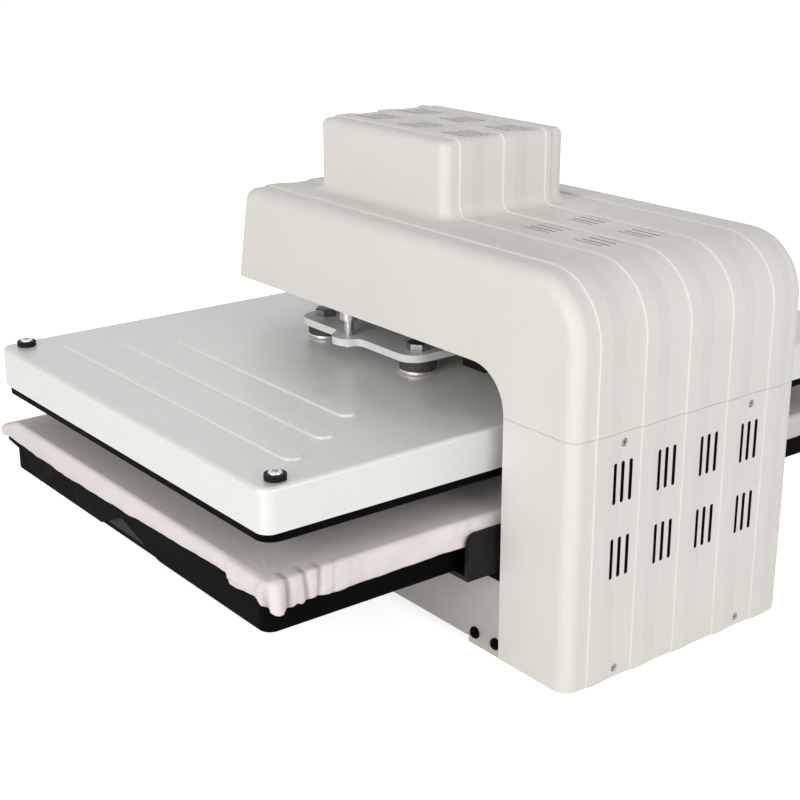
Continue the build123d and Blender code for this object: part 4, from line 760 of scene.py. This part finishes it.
def ridge(x, y, out):
    """1 on the pinched ridge at a rear corner of the hem, and below 0 in the valley beside it."""
    if x < 0:
        return 0.0
    before_corner = (cloth_half - cloth_corner) - abs(y)
    past_corner = (cloth_back - cloth_corner) - x
    if before_corner > 0:
        turn = -math.degrees(before_corner / cloth_corner)
    elif past_corner > 0:
        turn = 90 + math.degrees(past_corner / cloth_corner)
    else:
        turn = math.degrees(math.atan2(abs(out.y), out.x))
    return bell(turn, ridge_turn, ridge_width) - valley_share * bell(turn, valley_turn, valley_width)


def cover_point(u, v):
    """Where a point of the flat grid comes to lie over the pad, and how much painted shade its crease
    gets.
    """
    side_x = 1 if u > (cloth_front + cloth_back) / 2 else -1
    side_y = 1 if v > 0 else -1
    centre_x = cloth_back - cloth_corner if side_x > 0 else cloth_front + cloth_corner
    centre_y = side_y * (cloth_half - cloth_corner)
    a = side_x * (u - centre_x)
    b = side_y * (v - centre_y)
    at_corner = a > 0 and b > 0
    x, y = u, v
    if at_corner:
        reach = max(a, b) / math.hypot(a, b)
        x = centre_x + side_x * a * reach
        y = centre_y + side_y * b * reach
    gap_x = cloth_back - x if side_x > 0 else x - cloth_front
    gap_y = cloth_half - abs(y)
    if at_corner:
        drop = section(cloth_corner - math.hypot(x - centre_x, y - centre_y))[1]
    else:
        drop = max(section(gap_x)[1], section(gap_y)[1])
    edge = min(gap_x, gap_y)
    calm = min(1.0, edge / calm_margin)
    lift = wave_lift * ripple(x * wave_pitch_x, y * wave_pitch_y, 1.7) * calm
    from_back = math.hypot(cloth_back - x, y + cloth_half)
    from_front = math.hypot(x - cloth_front, y + cloth_half)
    fan = math.exp(-min(from_back, from_front) / fan_reach)
    turn = math.atan2(y + cloth_half, abs(x - (cloth_back if x > fan_border else cloth_front)) + 1e-6)
    lift += fan_lift * fan * ripple(turn * fan_pitch, 0.0, 6.0) * calm
    pucker = gathers(x, y) * math.exp(-edge / pucker_reach)
    fold = puff(x, y, gap_x < gap_y, 0.0)
    z = rest_height(x) - drop + lift - pucker_share * pucker * (1 - fold) - cloth_sink
    # Painted shade: darker in the creases between folds, the more so where the edge puckers.
    return (x, y, min(z, cloth_ceiling)), (1 - fold) ** 2 * min(1.0, pucker / pucker_full_shade)


def outward(x, y):
    """The level direction that the skirt faces at a place on the grid's edge."""
    centre_x = min(max(x, cloth_front + cloth_corner), cloth_back - cloth_corner)
    centre_y = min(max(y, -cloth_half + cloth_corner), cloth_half - cloth_corner)
    out = Vector((x - centre_x, y - centre_y, 0))
    if abs(out.x) < 1e-6:
        out = Vector((0, 1 if y > 0 else -1, 0))
    elif abs(out.y) < 1e-6:
        out = Vector((1 if x > 0 else -1, 0, 0))
    out.normalize()
    return out


def skirt_points(x, y, run):
    """One line down the skirt: each point's place, its place on the flat cloth, and its painted shade."""
    out = outward(x, y)
    face_x = x + out.x * cloth_start
    face_y = y + out.y * cloth_start
    drop_start = section(cloth_start)[1]
    top_z = rest_height(face_x) - cloth_sink
    whole = top_z - hem_height(face_x, face_y)
    length = whole - drop_start
    amount = gathers(face_x, face_y)
    pinch = ridge(face_x, face_y, out)
    on_ledge = abs(out.y) > straight and y < 0 and ledge_from < x < ledge_to
    rows = range(1, skirt_rows + 1)
    line_row = min(rows, key=lambda k: abs(k / skirt_rows * length + drop_start - top_z + ledge_line))
    points = []
    for k in rows:
        t = cloth_start - k / skirt_rows * (length + cloth_start * skirt_slack)
        inward, drop = section(t)
        drop = min(drop, whole)
        low = min(1.0, drop / whole)
        swing = puff(face_x, face_y, abs(out.x) > abs(out.y), drop)
        push = amount * swing * (skirt_folds_top + skirt_folds_more * low ** skirt_folds_power)
        crumple = sum(
            deep * ripple(run * pitch, drop * pitch_down, seed)
            for pitch, pitch_down, seed, deep in skirt_crumples
        )
        push += (crumple + skirt_crumple_out) * min(1.0, low * skirt_crumple_rate)
        if on_ledge and top_z - drop > ledge_height:
            push += ledge_out
        push += skirt_bulge * math.sin(math.pi * low) + ridge_push * pinch * low
        z = top_z - drop + skirt_wave * ripple(run * skirt_wave_pitch, 9.0, 0.0) * low ** 2
        z -= ridge_hang * max(pinch, 0.0) * low ** 2
        # Painted shade: darker in the creases between folds, in the valley beside a rear ridge, and on
        # the ledge line.
        shade = (1 - swing) ** 2 * min(1.0, amount / skirt_full_shade) + max(-pinch, 0.0) * low
        shade = min(1.0, shade) + (ledge_line_shade if on_ledge and k == line_row else 0.0)
        place = (face_x + out.x * (push - inward), face_y + out.y * (push - inward), z)
        points.append((place, (face_x - out.x * t, face_y - out.y * t), shade))
    return points


def drape_cover():
    """The cover on its grid, and the skirts from the grid's edge. The flat cloth is its UV map."""
    lines_x = cut_lines(cloth_front + cloth_start, cloth_back - cloth_start, grid_front, grid_back)
    lines_y = cut_lines(
        -cloth_half + cloth_start, cloth_half - cloth_start, grid_near, grid_far, grid_tucks
    )
    last_x, last_y = len(lines_x) - 1, len(lines_y) - 1
    sheet = bmesh.new()
    # This layer holds each point's painted shade.
    crease = sheet.verts.layers.float.new("crease")
    flat = {}

    def add(place, flat_place, shade):
        vert = sheet.verts.new(place)
        vert[crease] = shade
        flat[vert] = flat_place
        return vert

    grid = {}
    for i, u in enumerate(lines_x):
        for j, v in enumerate(lines_y):
            place, shade = cover_point(u, v)
            grid[i, j] = add(place, place[:2], shade)
    faces = []
    for i in range(last_x):
        for j in range(last_y):
            faces.append((grid[i, j], grid[i + 1, j], grid[i + 1, j + 1], grid[i, j + 1]))
    edge = [(i, 0) for i in range(last_x + 1)] + [(last_x, j) for j in range(1, last_y + 1)]
    edge += [(i, last_y) for i in range(last_x - 1, -1, -1)] + [(0, j) for j in range(last_y - 1, 0, -1)]
    columns = []
    run = 0.0
    before = None
    for key in edge:
        here = Vector(flat[grid[key]])
        if before is not None:
            run += (here - before).length
        before = here
        columns.append([grid[key]] + [add(*point) for point in skirt_points(*flat[grid[key]], run)])
    for a, b in zip(columns, columns[1:] + columns[:1]):
        for k in range(skirt_rows):
            faces.append((a[k], a[k + 1], b[k + 1], b[k]))
    layer = sheet.loops.layers.uv.new("flat")
    cut = 0.0
    for corners in faces:
        face = sheet.faces.new(corners)
        face.smooth = True
        points = [flat[corner] for corner in corners]
        for loop in face.loops:
            loop[layer].uv = flat[loop.vert]
        cut += abs(sum(p[0] * q[1] - q[0] * p[1] for p, q in zip(points, points[1:] + points[:1]))) / 2
    mesh = bpy.data.meshes.new("cotton_cover")
    sheet.to_mesh(mesh)
    sheet.free()
    cover = bpy.data.objects.new("cotton_cover", mesh)
    bpy.context.scene.collection.objects.link(cover)
    span = tuple(lines[-1] - lines[0] + 2 * skirt_length for lines in (lines_x, lines_y))
    return cover, span, cut


cotton_cover, cloth_span, cloth_cut = drape_cover()
cotton_finish = new_finish("woven_cotton", (0.84, 0.79, 0.785), 0.85)
cotton_nodes = cotton_finish.node_tree.nodes
cotton_links = cotton_finish.node_tree.links
cotton_shader = cotton_nodes["Principled BSDF"]
cotton_shader.inputs["Sheen Weight"].default_value = 0.25
cotton_shader.inputs["Sheen Roughness"].default_value = 0.6
specular(cotton_finish, 0.25)
blotch(cotton_finish, speckle(cotton_finish, 35.0, 4.0), (0.815, 0.765, 0.76), (0.865, 0.82, 0.812))
# Painted shade: the cloth goes darker by the shade stored in the crease attribute, in creases and on the
# ledge line.
cotton_crease_shade = cotton_nodes.new("ShaderNodeAttribute")
cotton_crease_shade.attribute_name = "crease"
darken(cotton_finish, cotton_crease_shade.outputs["Fac"], (0.50, 0.44, 0.44))
cotton_uv = cotton_nodes.new("ShaderNodeUVMap")
cotton_uv.uv_map = "flat"
weave = cotton_nodes.new("ShaderNodeMath")
weave.operation = "MULTIPLY"
for axis, socket in zip(("X", "Y"), weave.inputs):
    thread = cotton_nodes.new("ShaderNodeTexWave")
    thread.wave_type = "BANDS"
    thread.bands_direction = axis
    thread.inputs["Scale"].default_value = 320.0
    thread.inputs["Distortion"].default_value = 0.6
    thread.inputs["Detail"].default_value = 1.0
    cotton_links.new(cotton_uv.outputs[0], thread.inputs["Vector"])
    cotton_links.new(thread.outputs["Fac"], socket)
relief(cotton_finish, weave.outputs[0], 0.00012, 0.5)
relief(cotton_finish, speckle(cotton_finish, 160.0, 4.0), 0.0004, 0.3)
relief(cotton_finish, speckle(cotton_finish, 32.0, 5.0, (1.0, 0.6, 1.0)), 0.0022, 0.30)
cotton_cover.data.materials.append(cotton_finish)
cloth_wall = cotton_cover.modifiers.new("cloth thickness", "SOLIDIFY")
cloth_wall.thickness = cloth_thickness
cloth_wall.offset = -1.0
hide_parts("pad_cover")
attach(cotton_cover, "drawer")

# Controls: a black moulded panel on the beam's front end, with a tinted display, four domed keys
# and a red stop button in a charcoal collar. The keys run in holes and spring back.
black_finish = new_finish("black_moulding", (0.010, 0.010, 0.011), 0.48)
specular(black_finish, 0.25)
uneven(black_finish, speckle(black_finish, 150.0, 3.0), 0.42, 0.56)
relief(black_finish, speckle(black_finish, 1400.0, 2.0), 0.0001, 0.4)
dress(
    black_finish, "control_panel", "terminal_block", "power_inlet", "switch_frame", "rocker",
    "fan_frame", "fan_rotor",
)

display_finish = new_finish("tinted_window", (0.010, 0.014, 0.022), 0.10)
display_finish.node_tree.nodes["Principled BSDF"].inputs["Coat Weight"].default_value = 0.6
uneven(display_finish, speckle(display_finish, 40.0, 2.0), 0.07, 0.14)
dress(display_finish, "display_window")

key_finish = new_finish("key_plastic", (0.74, 0.74, 0.74), 0.30)
uneven(key_finish, speckle(key_finish, 300.0, 2.0), 0.26, 0.38)
relief(key_finish, speckle(key_finish, 1600.0, 2.0), 0.00005, 0.3)
dress(key_finish, "panel_key_1", "panel_key_2", "panel_key_3", "panel_key_4")

stop_finish = new_finish("red_plastic", (0.56, 0.02, 0.015), 0.28)
uneven(stop_finish, speckle(stop_finish, 200.0, 2.0), 0.24, 0.36)
relief(stop_finish, speckle(stop_finish, 1600.0, 2.0), 0.00005, 0.3)
dress(stop_finish, "estop_button")

# Electrics: a power supply in a plated case, a control board with relays on stand-offs,
# and the display's board behind the panel.
case_finish = new_finish("plated_case", (0.60, 0.61, 0.62), 0.36, 1.0)
uneven(case_finish, speckle(case_finish, 90.0, 3.0, (1.0, 1.0, 8.0)), 0.30, 0.46)
relief(case_finish, speckle(case_finish, 700.0, 2.0, (1.0, 1.0, 10.0)), 0.00005, 0.4)
dress(case_finish, "power_supply")

circuit_finish = new_finish("solder_mask", (0.015, 0.12, 0.05), 0.35)
circuit_cells = speckle(circuit_finish, 350.0, 0.0, kind="ShaderNodeTexVoronoi")
blotch(circuit_finish, circuit_cells, (0.03, 0.17, 0.08), (0.012, 0.10, 0.045), 0.02, 0.12)
relief(circuit_finish, circuit_cells, 0.0001, 0.5)
dress(circuit_finish, "panel_board", "control_board")
